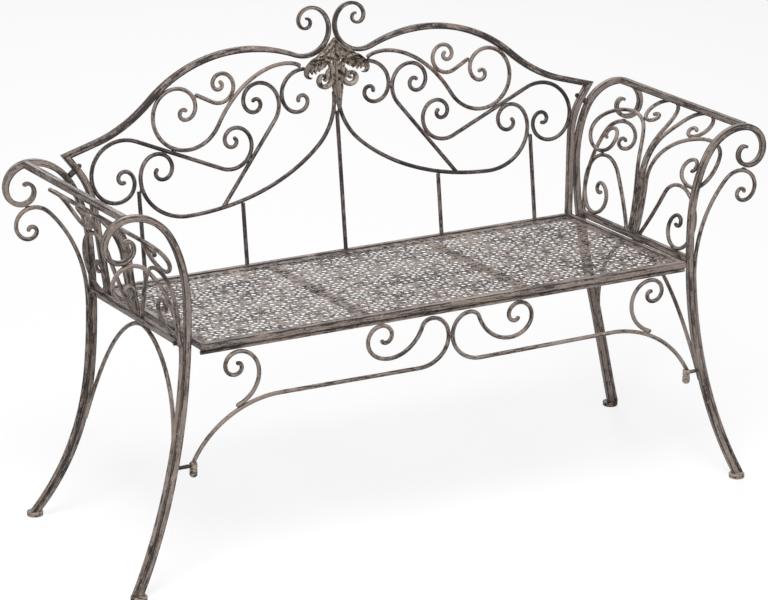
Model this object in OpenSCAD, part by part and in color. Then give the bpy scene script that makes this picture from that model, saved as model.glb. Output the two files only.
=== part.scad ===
// Wrought metal garden bench with scrolled back, fan-shaped arms and a pierced sheet seat.
// X runs along the width, Y to the back and Z up, from the ground under the middle of the bench.

/* [Seat] */
// Width of the seat frame
seat_w = 994; // [970:1:1020]
// Depth of the seat frame
seat_d = 402; // [394:1:410]
// Height of the seat's front edge above the ground
seat_h = 445; // [432:1:458]
// Fall of the seat towards the back, in degrees
seat_pitch = 2.1; // [1.7:0.1:2.5]
// Thickness of the pierced seat sheet
sheet_t = 1.5; // [1:0.1:2.5]
// Depth of the sheet's face below the frame's top
sheet_recess = 2.5; // [1:0.1:4]
// Width of the two braces under the sheet
brace_w = 20; // [12:1:30]
// Thickness of the two braces under the sheet
brace_t = 3; // [2:0.5:4]
// Rosettes along the seat
tile_cols = 12; // [10:1:14]
// Rosettes across the seat
tile_rows = 5; // [4:1:6]
// Plain margin of the sheet around the rosettes
sheet_margin = 9; // [6:0.5:14]

/* [Back] */
// Height of the finials' centreline above the seat, along the back
back_h = 458; // [448:1:468]
// Recline of the back, in degrees
recline = 8.5; // [7.5:0.1:9.5]
// Distance of the outer spindles from the middle
outer_spindle_x = 414; // [411:1:418]
// Distance of the inner spindles from the middle
inner_spindle_x = 207; // [190:1:225]
// Depth of the cast ornament from back to front
ornament_t = 12; // [9:1:15]

/* [Arms and legs] */
// Height of the arms' crest centreline above the seat's front edge
arm_h = 238; // [230:1:246]
// Fall of the arm rails and armrests towards the back, in degrees
arm_pitch = 1.7; // [1.4:0.1:2]
// Height of the arm rails' top above the seat's front edge
arm_rail_rise = 2; // [1:0.5:3]
// Gap between the seat frame and the arm rails
arm_gap = 16; // [13:0.5:20]
// Distance from the seat's front edge back to the front posts
front_post_setback = 16.5; // [15:0.5:20]
// Distance of the back posts behind the plane of the back
back_post_setback = 4.5; // [3.5:0.1:5.5]
// How far the legs splay sideways from seat to foot
leg_splay = 102; // [95:1:110]
// How far the front feet kick forward
front_kick = 27; // [20:1:34]
// How far the back feet kick backward
back_kick = 96; // [85:1:105]
// Distance of the armrest's centreline outside the post at seat height
armrest_out = 111; // [106:1:114]

/* [Apron] */
// Height of the apron scrolls from their foot sleeves to the apron rod
apron_h = 190; // [180:1:200]
// Gap between the seat frame's end and the middle of the apron sleeves, inwards negative
apron_out = 15; // [10:1:20]

/* [Stock] */
// Side of the square bar in the posts and rails
bar_d = 12; // [11:0.5:13]
// Diameter of the round scroll rod
rod_d = 8; // [7:0.25:9]
// Width and depth of a bar's end where it is drawn out to a point
drawn_tip = 6; // [4:0.5:8]
// Clearance left for the weld between two pieces
weld_gap = 0.3; // [0.2:0.05:0.5]
// Corner bevel of the square bar
bar_bevel = 1.5; // [1:0.25:2.5]

/* [Fastenings and feet] */
// Diameter of the bolts and studs
bolt_d = 5; // [4:0.5:6]
// Diameter of the bolt holes
bolt_hole_d = 5.5; // [5.5:0.1:6.6]
// Hexagon size of bolt heads and nuts across the flats
hex_af = 8; // [7:0.5:10]
// Height of bolt heads and nuts
hex_h = 4; // [3:0.5:6]
// Outside diameter of the spacer tubes
spacer_d = 11; // [9:0.5:12]
// Distance of the seat bolts from the posts
seat_bolt_in = 22; // [15:1:30]
// Height along the back where the studs tie it to the arms
stud_up = 221; // [215:1:228]
// Diameter of the foot caps
cap_d = 30; // [27:1:34]
// Height of the foot caps
cap_h = 9; // [7:0.5:12]
// Diameter of the apron's foot sleeves
sleeve_d = 14; // [12:0.5:16]
// Length of the apron's foot sleeves
sleeve_h = 27; // [22:1:32]
// Diameter of the pins that tie the apron to the front legs
pin_d = 7; // [6:0.5:8]

/* [Hidden] */

// Colours of the worn paint, the bare castings and the fastenings
paint = [0.47, 0.43, 0.40];
casting = [0.44, 0.40, 0.37];
fastening = [0.30, 0.27, 0.25];

// Bends are drawn at these sizes and stretched to the sizes above.
drawn_rod = 8;
drawn_back_w = 994;
drawn_back_h = 457.8;
drawn_seat_h = 445;
drawn_crest_z = 681;
drawn_post_x = 519;
drawn_splay = 102;
touch = drawn_rod + 0.3;

// Facets: largest bulge that a straight facet may cut off, and largest turn of one facet
facet_sag = 0.7;
facet_turn = 32;
fine_sag = 0.02;

rod_r = rod_d / 2;
bar_r = bar_d / 2;
rod_inset = (rod_d - drawn_rod) / 2;
half_w = seat_w / 2;

// A path starts at [x, y, heading] and goes through moves. [length] is a straight, and
// [r0, r1, turn] is a bend whose radius changes evenly from r0 to r1, turning left if positive.

// Pose after a share f of one move
function after(p, m, f = 1) = len(m) == 1
    ? [p[0] + m[0]*f*cos(p[2]), p[1] + m[0]*f*sin(p[2]), p[2]]
    : let (
        s = sign(m[2]),
        k = (m[1] - m[0]) / (abs(m[2])*PI/180),
        r = m[0] + (m[1] - m[0])*f,
        a = p[2] + m[2]*f
    ) [
        p[0] + s*(r*sin(a) - m[0]*sin(p[2])) + k*(cos(a) - cos(p[2])),
        p[1] + s*(m[0]*cos(p[2]) - r*cos(a)) + k*(sin(a) - sin(p[2])),
        a
    ];

// Which way a move bends: 1 left, -1 right, 0 straight or past the end
function bending(moves, i) = i < 0 || i >= len(moves) || len(moves[i]) == 1 ? 0 : sign(moves[i][2]);

// Which way the path bends where move i begins
function bending_at(moves, i) = let (
        before = bending(moves, i - 1),
        next = bending(moves, i)
    ) before != 0 && next != 0 ? (before + next)/2
    : before + next != 0 ? before + next
    : i == 0 ? bending(moves, 1) : bending(moves, i - 2);

// Facets that a move is split into
function facets(m, sag, turn) = len(m) == 1 ? 1
    : max(1, ceil(abs(m[2]) / min(turn, 2*acos(1 - sag/(0.75*max(m[0], m[1]))))));

// Stations [x, y, heading, bending] along a path
function stations(p, moves, sag = facet_sag, turn = facet_turn, i = 0) = let (
        first = i == 0 ? [[each p, bending_at(moves, 0)]] : []
    ) i == len(moves) ? [] : let (
        n = facets(moves[i], sag, turn),
        side = bending(moves, i)
    ) concat(
        first,
        [for (k = [1:n]) [each after(p, moves[i], k/n), k < n ? side : bending_at(moves, i + 1)]],
        stations(after(p, moves[i]), moves, sag, turn, i + 1)
    );

// The same path drawn finely, for measuring where pieces meet
function finely(p, moves) = stations(p, moves, fine_sag, 6);

// Moves each station towards the inside of its bend, so that a thicker rod keeps its outline
function inset(st, d) = [for (s = st) [s[0] - d*s[3]*sin(s[2]), s[1] + d*s[3]*cos(s[2]), s[2], s[3]]];

// Moves each station to its right-hand side
function beside(st, d) = [for (s = st) [s[0] + d*sin(s[2]), s[1] - d*cos(s[2]), s[2], s[3]]];

// Stretches a path about a fixed point
function stretched(st, kx, ky, x0 = 0, y0 = 0) = [for (s = st) [
    x0 + (s[0] - x0)*kx, y0 + (s[1] - y0)*ky, atan2(ky*sin(s[2]), kx*cos(s[2])), s[3]]];

function moved(st, dx, dy) = [for (s = st) [s[0] + dx, s[1] + dy, s[2], s[3]]];
function column(st, i) = [for (s = st) s[i]];

// Outlines of a bar or rod, as [across the path, along the depth]
function rod_outline(r) = [for (a = [30:60:330]) r/cos(30)*[cos(a), sin(a)]];
function bar_outline(w, d, b) = let (x = w/2, y = d/2) [
    [x, -y + b], [x, y - b], [x - b, y], [b - x, y],
    [-x, y - b], [-x, b - y], [b - x, -y], [x - b, -y]];

// Bar outlines that keep their size up to the share `from` of the path, then draw out to a tip
function drawn_out(n, from) = [for (i = [0:n - 1]) let (
        t = max(0, i/(n - 1) - from)/(1 - from),
        w = bar_d + (drawn_tip - bar_d)*t
    ) bar_outline(w, w + (bar_d - w)/2, bar_bevel*w/bar_d)];

// Rings of points around a path; place(across, up, depth) puts a point in space
function rings(st, outlines, place) = [for (i = [0:len(st) - 1]) let (
        s = st[i],
        outline = is_num(outlines[0][0][0]) ? outlines[i] : outlines
    ) [for (q = outline) place(s[0] - q[0]*sin(s[2]), s[1] + q[0]*cos(s[2]), q[1])]];

// Slides the first ring along the rod onto a plane, so that the rod stands flat on a piece
function middle(ring) = [for (k = [0:2]) sum(column(ring, k))/len(ring)];
function sum(v) = v*[for (x = v) 1];
function trimmed(r, origin, normal) = let (way = middle(r[1]) - middle(r[0]))
    [for (i = [0:len(r) - 1]) i > 0 ? r[i] : [for (p = r[0]) p + way*((origin - p)*normal)/(way*normal)]];
function stood(r, z) = trimmed(r, [0, 0, z], [0, 0, 1]);

// Solid skinned over rings of points
module skin(r) {
    n = len(r[0]);
    last = (len(r) - 1)*n;
    sides = [for (i = [0:len(r) - 2]) for (j = [0:n - 1]) let (
            a = i*n + j,
            b = i*n + (j + 1) % n
        ) each [[a, a + n, b + n], [a, b + n, b]]];
    ends = [[for (j = [0:n - 1]) j], [for (j = [n - 1:-1:0]) last + j]];
    polyhedron([for (ring = r) each ring], concat(ends, sides));
}

// Outline of a flat strip of changing width along a path
function strip_edge(st, i, w) = [st[i][0] - w*sin(st[i][2]), st[i][1] + w*cos(st[i][2])];
function strip(st, w0, w1) = let (n = len(st) - 1) concat(
    [for (i = [0:n]) strip_edge(st, i, (w0 + (w1 - w0)*i/n)/2)],
    [for (i = [n:-1:0]) strip_edge(st, i, -(w0 + (w1 - w0)*i/n)/2)]);

module hex(d_af, h) cylinder(d = d_af/cos(30), h = h, $fn = 6);

// Frames of the seat, the arms and the back. Y is measured from the seat's front edge here.
back_foot_y = (seat_d - bar_r)*cos(seat_pitch);
back_foot_z = seat_h - (seat_d - bar_r)*sin(seat_pitch);

module in_seat() translate([0, 0, seat_h]) rotate([-seat_pitch, 0, 0]) children();
module in_arm() translate([0, 0, seat_h + arm_rail_rise]) rotate([-arm_pitch, 0, 0]) children();
module in_back() translate([0, back_foot_y, back_foot_z]) rotate([-recline, 0, 0]) children();

// Posts: path in the XZ plane, then a forward or backward kick of the foot
post_start = [621, 16.6, 117];
post_moves = [[818, 1268, -28], [362, 159, -29], [98, 68, -67], [55, 25, -135], [32, 5, -257]];
post_x = half_w + arm_gap + bar_r;
drawn_out_from = 0.5;
back_y_at = function (z) back_foot_y + (z - back_foot_z)*tan(recline);
front_kick_z = 430;
back_kick_z = 290;
front_post_y = function (z) front_post_setback
    - front_kick*pow(max(0, 1 - z/front_kick_z), 2);
back_post_y = function (z) back_y_at(z) + back_post_setback/cos(recline)
    + back_kick*pow(max(0, 1 - z/back_kick_z), 2);
crest_front_z = seat_h + arm_h;
crest_back_z = crest_front_z - tan(arm_pitch)*(back_post_y(crest_front_z) - front_post_setback);

// Stretches a post's drawn path to the seat height, arm height, splay and gap
function post_fitted(st, crest_z) = [for (s = st) let (
        below = s[1] < drawn_seat_h,
        kx = below ? leg_splay/drawn_splay : 1,
        kz = below ? seat_h/drawn_seat_h : (crest_z - seat_h)/(drawn_crest_z - drawn_seat_h)
    ) [
        post_x + (s[0] - drawn_post_x)*kx,
        below ? s[1]*kz : seat_h + (s[1] - drawn_seat_h)*kz,
        atan2(kz*sin(s[2]), kx*cos(s[2])),
        s[3]
    ]];

// The rod beside a post leaves it at this share of the post's first bend. That bend carries
// extra stations, because the foot also kicks along Y.
rod_leaves = 0.82;
leg_turn = 3.5;
leg_bend = post_moves[0];
leg_bend_r = leg_bend[0] + (leg_bend[1] - leg_bend[0])*rod_leaves;
leg_shared = [leg_bend[0], leg_bend_r, leg_bend[2]*rod_leaves];
leg_rest = [leg_bend_r, leg_bend[1], leg_bend[2]*(1 - rod_leaves)];
function tail(list) = [for (i = [1:len(list) - 1]) list[i]];
function leg_path(rest) = concat(
    stations(post_start, [leg_shared], facet_sag, leg_turn),
    tail(stations(after(post_start, leg_shared), rest)));
function post_path(crest_z) = post_fitted(leg_path(concat([leg_rest], tail(post_moves))), crest_z);

front_path = post_path(crest_front_z);
back_path = post_path(crest_back_z);

// A post's centreline X at a height, on its way up to the crest
function rising(st) = [for (i = [0:len(st) - 1]) if (sin(st[i][2]) > 0.02 && i < 30) [st[i][1], st[i][0]]];
front_x_at = function (z) lookup(z, rising(front_path));
back_x_at = function (z) lookup(z, rising(back_path));

module post(path, y_of) {
    color(paint)
    skin(stood(
        rings(path, drawn_out(len(path), drawn_out_from), function (x, z, d) [x, y_of(z) - d, z]),
        cap_h + weld_gap));
}

module front_post() post(front_path, front_post_y);
module back_post() post(back_path, back_post_y);

// The leg rod follows the post's outer side up to the seat, then flares into a scroll under
// the post's own scroll. It is drawn on the post's centreline and then moved beside it.
rod_beside = bar_r + rod_r + weld_gap;
drawn_beside = 10.3;
leg_rod_rest = [
    [270 + drawn_beside, 211 + drawn_beside, -47],
    [44 + drawn_beside, 11 + drawn_beside, -306],
    [11 + drawn_beside, 5 + drawn_beside, -189]];
function leg_rod_path(crest_z) = beside(post_fitted(leg_path(leg_rod_rest), crest_z), rod_beside);

module leg_rod(crest_z, y_of) {
    path = leg_rod_path(crest_z);
    color(paint)
    skin(stood(
        rings(path, rod_outline(rod_r), function (x, z, d) [x, y_of(z) - d, z]), cap_h + weld_gap));
}

module front_leg_rod() leg_rod(crest_front_z, front_post_y);
module back_leg_rod() leg_rod(crest_back_z, back_post_y);

// Foot caps: turned discs under each post and its rod
cap_edge = 1.5;
foot_x = front_path[0][0] + rod_beside/2;
module foot_cap() {
    color(casting)
    rotate_extrude($fn = 48)
        polygon([[0, 0], [cap_d/2 - cap_edge, 0], [cap_d/2, cap_edge], [cap_d/2, cap_h - 2*cap_edge],
            [cap_d/2 - cap_edge, cap_h], [0, cap_h]]);
}

module foot_caps() {
    for (side = [-1, 1])
        for (y = [front_post_y(0), back_post_y(0)])
            translate([side*foot_x, y, 0]) foot_cap();
}

// Arm rail between the posts, level with the seat frame
function arm_local(y, z) = [
    y*cos(arm_pitch) - (z - seat_h - arm_rail_rise)*sin(arm_pitch),
    y*sin(arm_pitch) + (z - seat_h - arm_rail_rise)*cos(arm_pitch)];

// Blocks that stand where the posts are, used to cut bars off against the posts' faces
block = 200;
module post_blocks() {
    translate([0, front_post_setback + bar_r + weld_gap - block, 0])
        cube([2*block + 2*post_x, block, 2*crest_front_z]);
    translate([0, back_foot_y, back_foot_z]) rotate([-recline, 0, 0])
        translate([0, (back_post_setback - bar_r - weld_gap), -crest_front_z])
            cube([2*block + 2*post_x, block, 2*crest_front_z]);
}

seat_bolts_y = [front_post_setback + bar_r + seat_bolt_in,
    back_post_y(seat_h) - bar_r - seat_bolt_in];
function seat_bolt_z(y) = seat_h - bar_r
    + (arm_rail_rise - y*(tan(seat_pitch) + tan(arm_pitch)))/2;

module bolt_holes(d) {
    for (y = seat_bolts_y)
        translate([0, y, seat_bolt_z(y)]) rotate([0, 90, 0]) cylinder(d = d, h = 2*post_x, $fn = 32);
}

module arm_rail() {
    color(paint)
    difference() {
        in_arm() translate([post_x - bar_r, -bar_d, -bar_d]) cube([bar_d, seat_d + 4*bar_d, bar_d]);
        post_blocks();
        bolt_holes(bolt_hole_d);
    }
}

// Armrest between the crests of the two posts
armrest_x = post_x + armrest_out;
armrest_z = arm_local(front_post_setback, crest_front_z)[1];
module armrest() {
    color(paint)
    difference() {
        in_arm() translate([armrest_x, -block/2, armrest_z]) rotate([-90, 0, 0])
            linear_extrude(seat_d + block) polygon(bar_outline(bar_d, bar_d, bar_bevel));
        post_blocks();
    }
}

// Arch under the arm rail, whose ends run down along the inner faces of the legs
arch_moves = [[363, 57, -84], [57, 363, -84]];
arch_start = [-174.1, -226.6, 84];
arch_foot_z = seat_h - 245;
arch_low = front_post_y(arch_foot_z) + bar_r + rod_r + weld_gap;
arch_high = back_post_y(arch_foot_z) - bar_r - rod_r - weld_gap;
arch_y = (arch_low + arch_high)/2;
arch_top_z = seat_h + arm_rail_rise - arch_y*tan(arm_pitch)
    - (bar_d + rod_r + weld_gap)/cos(arm_pitch);
arch_path = moved(stretched(stations(arch_start, arch_moves),
    (arch_high - arch_low)/(-2*arch_start[0]),
    (arch_top_z - arch_foot_z)/(-arch_start[1])), arch_y, arch_top_z);

module leg_arch() {
    color(paint)
    skin(rings(arch_path, rod_outline(rod_r), function (y, z, d) [front_x_at(z) + d, y, z]));
}

// Fan of rods on a surface that rises from the arm rail and flares out under the armrest.
// Fan rods are drawn flat, as [distance from the fan's middle, distance along the flare].
flare_start = [519, 0, 75];
flare_moves = [[374, 864, 10], [135, 110, -50], [88]];
stems_start = [touch/2, 0.3, 90];
stems_moves = [[162], [419, 20, -27], [47, 13, -319], [5, 13, -150]];
loop_start = [1.5*touch, 0.3, 88];
loop_moves = [[107], [151, 38, -176], [40, 56, -122], [29, 5, -324]];
curl_start = [22, 0.3, 59.6];
curl_moves = [[116], [49, 73, -185], [40, 28, -217], [13, 7, -243]];

// Length of a move, and the share of it that a length takes
function move_length(m) = len(m) == 1 ? m[0] : (m[0] + m[1])/2*abs(m[2])*PI/180;
function move_share(m, d) = len(m) == 1 || m[0] == m[1] ? d/move_length(m)
    : (sqrt(pow(m[0], 2) + 2*(m[1] - m[0])/(abs(m[2])*PI/180)*d) - m[0])/(m[1] - m[0]);

// Pose at a distance along a path
function along(p, moves, d, i = 0) = i == len(moves) - 1 || d <= move_length(moves[i])
    ? after(p, moves[i], move_share(moves[i], d))
    : along(after(p, moves[i]), moves, d - move_length(moves[i]), i + 1);

// The fan reaches the armrest at the top and both posts at the sides.
drawn_loop_z = along(flare_start, flare_moves, max(column(finely(stems_start, stems_moves), 1)))[1];
fan_kz = (armrest_z - bar_r - rod_r - weld_gap)/drawn_loop_z;
drawn_curl_w = max(column(finely(curl_start, curl_moves), 0));
curl_touch_z = 60;
curl_front_y = arm_local(front_post_setback + bar_r + rod_r + weld_gap,
    seat_h + arm_rail_rise + curl_touch_z)[0];
curl_back_y = arm_local(back_post_y(seat_h + curl_touch_z) - bar_r - rod_r - weld_gap,
    seat_h + arm_rail_rise + curl_touch_z)[0];
fan_y = (curl_front_y + curl_back_y)/2;
fan_kh = (curl_back_y - curl_front_y)/2/drawn_curl_w;

// Place of a point of the fan: h across, s along the flare, d outwards from the surface
function on_fan(h, s, d) = let (f = along(flare_start, flare_moves, s)) [
    post_x + (f[0] - drawn_post_x) + d*sin(f[2]),
    fan_y + h,
    f[1]*fan_kz - d*cos(f[2])];

function fan_path(start, moves) = stretched(inset(stations(start, moves), rod_inset), fan_kh, 1);

module fan_rod(start, moves, back) {
    color(paint)
    in_arm() skin(stood(rings(fan_path(start, moves), rod_outline(rod_r),
        back ? function (h, s, d) on_fan(h, s, d) : function (h, s, d) on_fan(-h, s, -d)), weld_gap));
}

module fan_stems() {
    fan_rod(stems_start, stems_moves, false);
    fan_rod(stems_start, stems_moves, true);
}
module fan_front_loop() fan_rod(loop_start, loop_moves, false);
module fan_back_loop() fan_rod(loop_start, loop_moves, true);
module fan_front_curl() fan_rod(curl_start, curl_moves, false);
module fan_back_curl() fan_rod(curl_start, curl_moves, true);

// Back panel, drawn in its own plane as [distance from the middle, height above the seat]
upright_start = [490.2, -5.1, 84.6];
upright_moves = [[152], [165, 131, -31], [32]];
top_start = [550.8, 246.2, 164.3];
top_moves = [[64], [220, 342, -26], [272, 299, 64], [60, 16, -307], [15, 5, -275]];
outer_start = [441.3, 184.45, -35.9];
outer_moves = [[5, 15, 233], [16, 74, 366], [181], [51, 14, -313], [15, 5, -227]];
crown_start = [309.46, 299.19, 52.1];
crown_moves = [[5, 11, -189], [9, 80, -463], [243, 17, 93]];
crown_curl_start = [285.63, 324.46, -152.5];
crown_curl_moves = [[34], [34, 15, -302], [12, 5, -242]];
diagonal_start = [254, 104.8, 128.7];
diagonal_moves = [[198], [50.5, 16, -313], [16, 5, -234]];
centre_start = [64, 346.8, 1.5];
centre_moves = [[52, 13, -275], [13, 5, -200]];
swag_start = [374.8, 199.0, -29.2];
swag_moves = [[5, 34, -370], [33, 108, -142], [562, 262, -41], [124, 114, -51]];

back_kx = seat_w/drawn_back_w;
back_kv = back_h/drawn_back_h;
function back_path_of(start, moves) = stretched(inset(stations(start, moves), rod_inset), back_kx, back_kv);
in_panel = function (x, v, d) [x, -d, v];

module back_rod(start, moves) {
    color(paint)
    in_back() skin(rings(back_path_of(start, moves), rod_outline(rod_r), in_panel));
}

module outer_scroll() back_rod(outer_start, outer_moves);
module crown_scroll() back_rod(crown_start, crown_moves);
module crown_curl() back_rod(crown_curl_start, crown_curl_moves);

// Where a line from a pose meets a path: [distance along the line, heading of the path]
function crossings(p, a, st) = let (d = [cos(a), sin(a)]) [for (i = [0:len(st) - 2]) let (
        from = [st[i][0] - p[0], st[i][1] - p[1]],
        way = [st[i + 1][0] - st[i][0], st[i + 1][1] - st[i][1]],
        t = -cross(d, from)/cross(d, way)
    ) if (t >= 0 && t <= 1) [(from + way*t)*d, atan2(way[1], way[0])]];

foot_reach = 40;

// The diagonal scroll's foot is cut to stand along the swag below it.
module diagonal_scroll() {
    path = back_path_of(diagonal_start, diagonal_moves);
    meets = [for (c = crossings(path[0], path[0][2], back_path_of(swag_start, swag_moves)))
        if (abs(c[0]) < foot_reach) c][0];
    foot = after(path[0], [meets[0]]);
    up = [sin(meets[1]), 0, -cos(meets[1])];
    color(paint)
    in_back() skin(trimmed(rings(path, rod_outline(rod_r), in_panel),
        [foot[0], 0, foot[1]] + up*(rod_r + weld_gap), up));
}
module centre_scroll() back_rod(centre_start, centre_moves);
module swag() back_rod(swag_start, swag_moves);

// The bars of the back keep their inner edge, where the scrolls touch them
bar_growth = (bar_d - 12)/2;
upright_path = beside(stretched(stations(upright_start, upright_moves), back_kx, back_kv), bar_growth);
top_path = beside(stretched(stations(top_start, top_moves), back_kx, back_kv), bar_growth);
mitre = (upright_path[len(upright_path) - 1][2] + top_path[0][2])/2 - 90;
corner = [upright_path[len(upright_path) - 1][0], upright_path[len(upright_path) - 1][1]];

// Everything above the seat frame's top, less a clearance for the weld
module off_the_seat() {
    difference() {
        children();
        in_seat() translate([-half_w - block, 0, weld_gap - block])
            cube([2*half_w + 2*block, 2*seat_d, block]);
    }
}

// Half plane on one side of the mitre between upright and top rail
module mitre_side(upper) {
    translate(corner) rotate(mitre) translate([-block, upper ? -weld_gap/2 : weld_gap/2 - block])
        square([2*block, block]);
}

// The strip runs past the corner and is cut off on the mitre
function run_on(st, d) = concat(st, [let (s = st[len(st) - 1]) after(s, [d])]);
function run_up(st, d) = concat([after(st[0], [-d])], st);

module back_upright() {
    color(paint)
    off_the_seat() difference() {
        in_back() translate([0, bar_r, 0]) rotate([90, 0, 0]) linear_extrude(bar_d) difference() {
            polygon(strip(run_on(upright_path, bar_d), bar_d, bar_d));
            mitre_side(true);
        }
        stud_line() translate([0, 0, -block]) cylinder(d = bolt_hole_d, h = 2*block, $fn = 32);
    }
}

// Share of the top rail's stations after which it draws out to the finial's tip
finial_from = 0.45;
finial_at = floor(len(top_path)*finial_from);
finial_outline = strip([for (i = [finial_at:len(top_path) - 1]) top_path[i]], bar_d, drawn_tip);
module top_rail() {
    bar = run_up([for (i = [0:finial_at]) top_path[i]], bar_d);
    color(paint)
    in_back() translate([0, bar_r, 0]) rotate([90, 0, 0]) linear_extrude(bar_d) {
        difference() {
            polygon(strip(bar, bar_d, bar_d));
            mitre_side(false);
        }
        polygon(finial_outline);
    }
}

// Spindles stand on the seat frame and end under the rods above them
hanging = [for (path = [back_path_of(outer_start, outer_moves), back_path_of(swag_start, swag_moves)])
    for (i = [0:len(path) - 2]) for (t = [0:0.05:1]) path[i]*(1 - t) + path[i + 1]*t];
function spindle_top(x) = let (reach = rod_r + weld_gap) min([for (s = hanging)
    let (off = abs(s[0] - x) - rod_r) if (off < reach)
    s[1] - sqrt(pow(reach, 2) - pow(max(0, off), 2))]);

module back_spindles() {
    color(paint)
    for (x = [-outer_spindle_x, -inner_spindle_x, 0, inner_spindle_x, outer_spindle_x])
        off_the_seat() in_back() translate([x, 0, -bar_d])
            cylinder(r = rod_r, h = bar_d + spindle_top(abs(x)), $fn = 32);
}

// Cast ornament in front of the middle: a tapering stem, two side leaves and two lower scrolls
stem_outline = [[4, 250], [7, 266], [13, 292], [17, 312], [15, 326], [13, 338], [22, 352],
    [38, 366], [24, 374], [10, 388], [0, 398]];
rib_outline = [[2, 262], [6, 300], [7, 330], [4, 352], [6, 366], [0, 384]];
leaf_start = [14, 352, 24];
leaf_moves = [[70, 26, -110], [16, 8, -130]];
volute_start = [12, 344, -52];
volute_moves = [[40, 16, -110], [16, 5, -260]];
function both_sides(half) = concat(half,
    [for (i = [len(half) - 1:-1:0]) if (half[i][0] > 0) [-half[i][0], half[i][1]]]);

module centre_ornament() {
    color(casting)
    in_back() translate([0, -bar_r - weld_gap, 0]) rotate([90, 0, 0]) scale_back() {
        linear_extrude(ornament_t*0.6) {
            polygon(both_sides(stem_outline));
            for (side = [0, 1])
                mirror([side, 0]) {
                    polygon(strip(stations(leaf_start, leaf_moves), 20, 4));
                    polygon(strip(stations(volute_start, volute_moves), 13, 6));
                }
        }
        linear_extrude(ornament_t) polygon(both_sides(rib_outline));
    }
}

// Keeps the ornament in place when the back is stretched
module scale_back() translate([0, (back_kv - 1)*drawn_back_h*0.8, 0]) children();

// Seat frame: a full-width front and back rail, with the side rails between them
module frame_bar(length) cube([length, bar_d, bar_d]);

module seat_front_rail() {
    color(paint) in_seat() translate([-half_w, 0, -bar_d]) frame_bar(seat_w);
}
module seat_back_rail() {
    color(paint) in_seat() translate([-half_w, seat_d - bar_d, -bar_d]) frame_bar(seat_w);
}

bolt_bite = 8;
module seat_right_rail() {
    color(paint)
    difference() {
        in_seat() translate([half_w - bar_d, bar_d, -bar_d]) cube([bar_d, seat_d - 2*bar_d, bar_d]);
        translate([half_w - bolt_bite - 1, 0, 0]) bolt_holes(bolt_hole_d);
    }
}
module seat_left_rail() mirror([1, 0, 0]) seat_right_rail();

// Seat sheet, set down between the rails and pierced with rosettes
sheet_w = seat_w - 2*bar_d;
sheet_d = seat_d - 2*bar_d;
tile_w = (sheet_w - 2*sheet_margin)/tile_cols;
tile_d = (sheet_d - 2*sheet_margin)/tile_rows;
petals = 8;
petal_from = 0.15;
petal_to = 0.43;
petal_swell = 0.16;
eye_d = 0.15;
drop_d = 0.12;

// A pointed oval between two radii, as the overlap of two circles
module petal(r0, r1, w) {
    chord = r1 - r0;
    r = (chord*chord/4 + w*w/4)/w;
    intersection_for (side = [-1, 1])
        translate([(r0 + r1)/2, side*(r - w/2)]) circle(r, $fn = 24);
}

module seat_sheet() {
    tile = min(tile_w, tile_d);
    color(paint)
    in_seat() translate([-sheet_w/2, bar_d, -sheet_recess - sheet_t])
    linear_extrude(sheet_t) difference() {
        square([sheet_w, sheet_d]);
        for (i = [1:tile_cols])
            for (j = [1:tile_rows])
                translate([sheet_margin + (i - 0.5)*tile_w, sheet_margin + (j - 0.5)*tile_d]) {
                    circle(d = eye_d*tile, $fn = 24);
                    for (k = [1:petals])
                        rotate(360/petals*k) petal(petal_from*tile, petal_to*tile, petal_swell*tile);
                }
        for (i = [1:tile_cols - 1])
            for (j = [1:tile_rows - 1])
                translate([sheet_margin + i*tile_w, sheet_margin + j*tile_d])
                    circle(d = drop_d*tile, $fn = 24);
    }
}

// Two flat braces carry the sheet from below
brace_x = seat_w/6;
module seat_braces() {
    color(paint)
    in_seat() for (x = [-brace_x, brace_x])
        translate([x - brace_w/2, bar_d, -sheet_recess - sheet_t - brace_t])
            cube([brace_w, sheet_d, brace_t]);
}

// Apron: a rod under the front rail and scrolls that hang from it down to the front legs
apron_drop = bar_d + weld_gap + rod_r;
apron_y = bar_r*cos(seat_pitch) - apron_drop*sin(seat_pitch);
apron_z = seat_h - apron_drop*cos(seat_pitch) - bar_r*sin(seat_pitch);
module apron_rod() {
    color(paint)
    translate([-half_w, apron_y, apron_z]) rotate([0, 90, 0]) cylinder(r = rod_r, h = seat_w, $fn = 32);
}

apron_start = [511.3, 230.6, 117.4];
apron_moves = [[188, 190, 63], [275], [65, 12, -252], [85, 32, 134], [33, 4, 371]];
apron_curl_start = [426.1, 322.2, 159.8];
apron_curl_moves = [[69, 25, -187], [25, 4, -348]];
drawn_apron = finely(apron_start, apron_moves);
sleeve_x = half_w + apron_out;
scroll_top_z = apron_z - 2*rod_r - weld_gap;
sleeve_top_z = scroll_top_z + rod_inset - apron_h;
apron_kx = (sleeve_x - drawn_rod/2 - 0.15)/(apron_start[0] - min(column(drawn_apron, 0)));
apron_kz = apron_h/(max(column(drawn_apron, 1)) - apron_start[1]);
function apron_path(start, moves) = moved(stretched(inset(stations(start, moves), rod_inset),
    apron_kx, apron_kz, apron_start[0], apron_start[1]),
    sleeve_x - apron_start[0], sleeve_top_z + weld_gap - apron_start[1]);
in_apron = function (x, z, d) [x, apron_y - d, z];

module apron_scroll() {
    color(paint)
    skin(stood(rings(apron_path(apron_start, apron_moves), rod_outline(rod_r), in_apron),
        sleeve_top_z + weld_gap));
}

module apron_curl() {
    color(paint)
    skin(rings(apron_path(apron_curl_start, apron_curl_moves), rod_outline(rod_r), in_apron));
}

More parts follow.
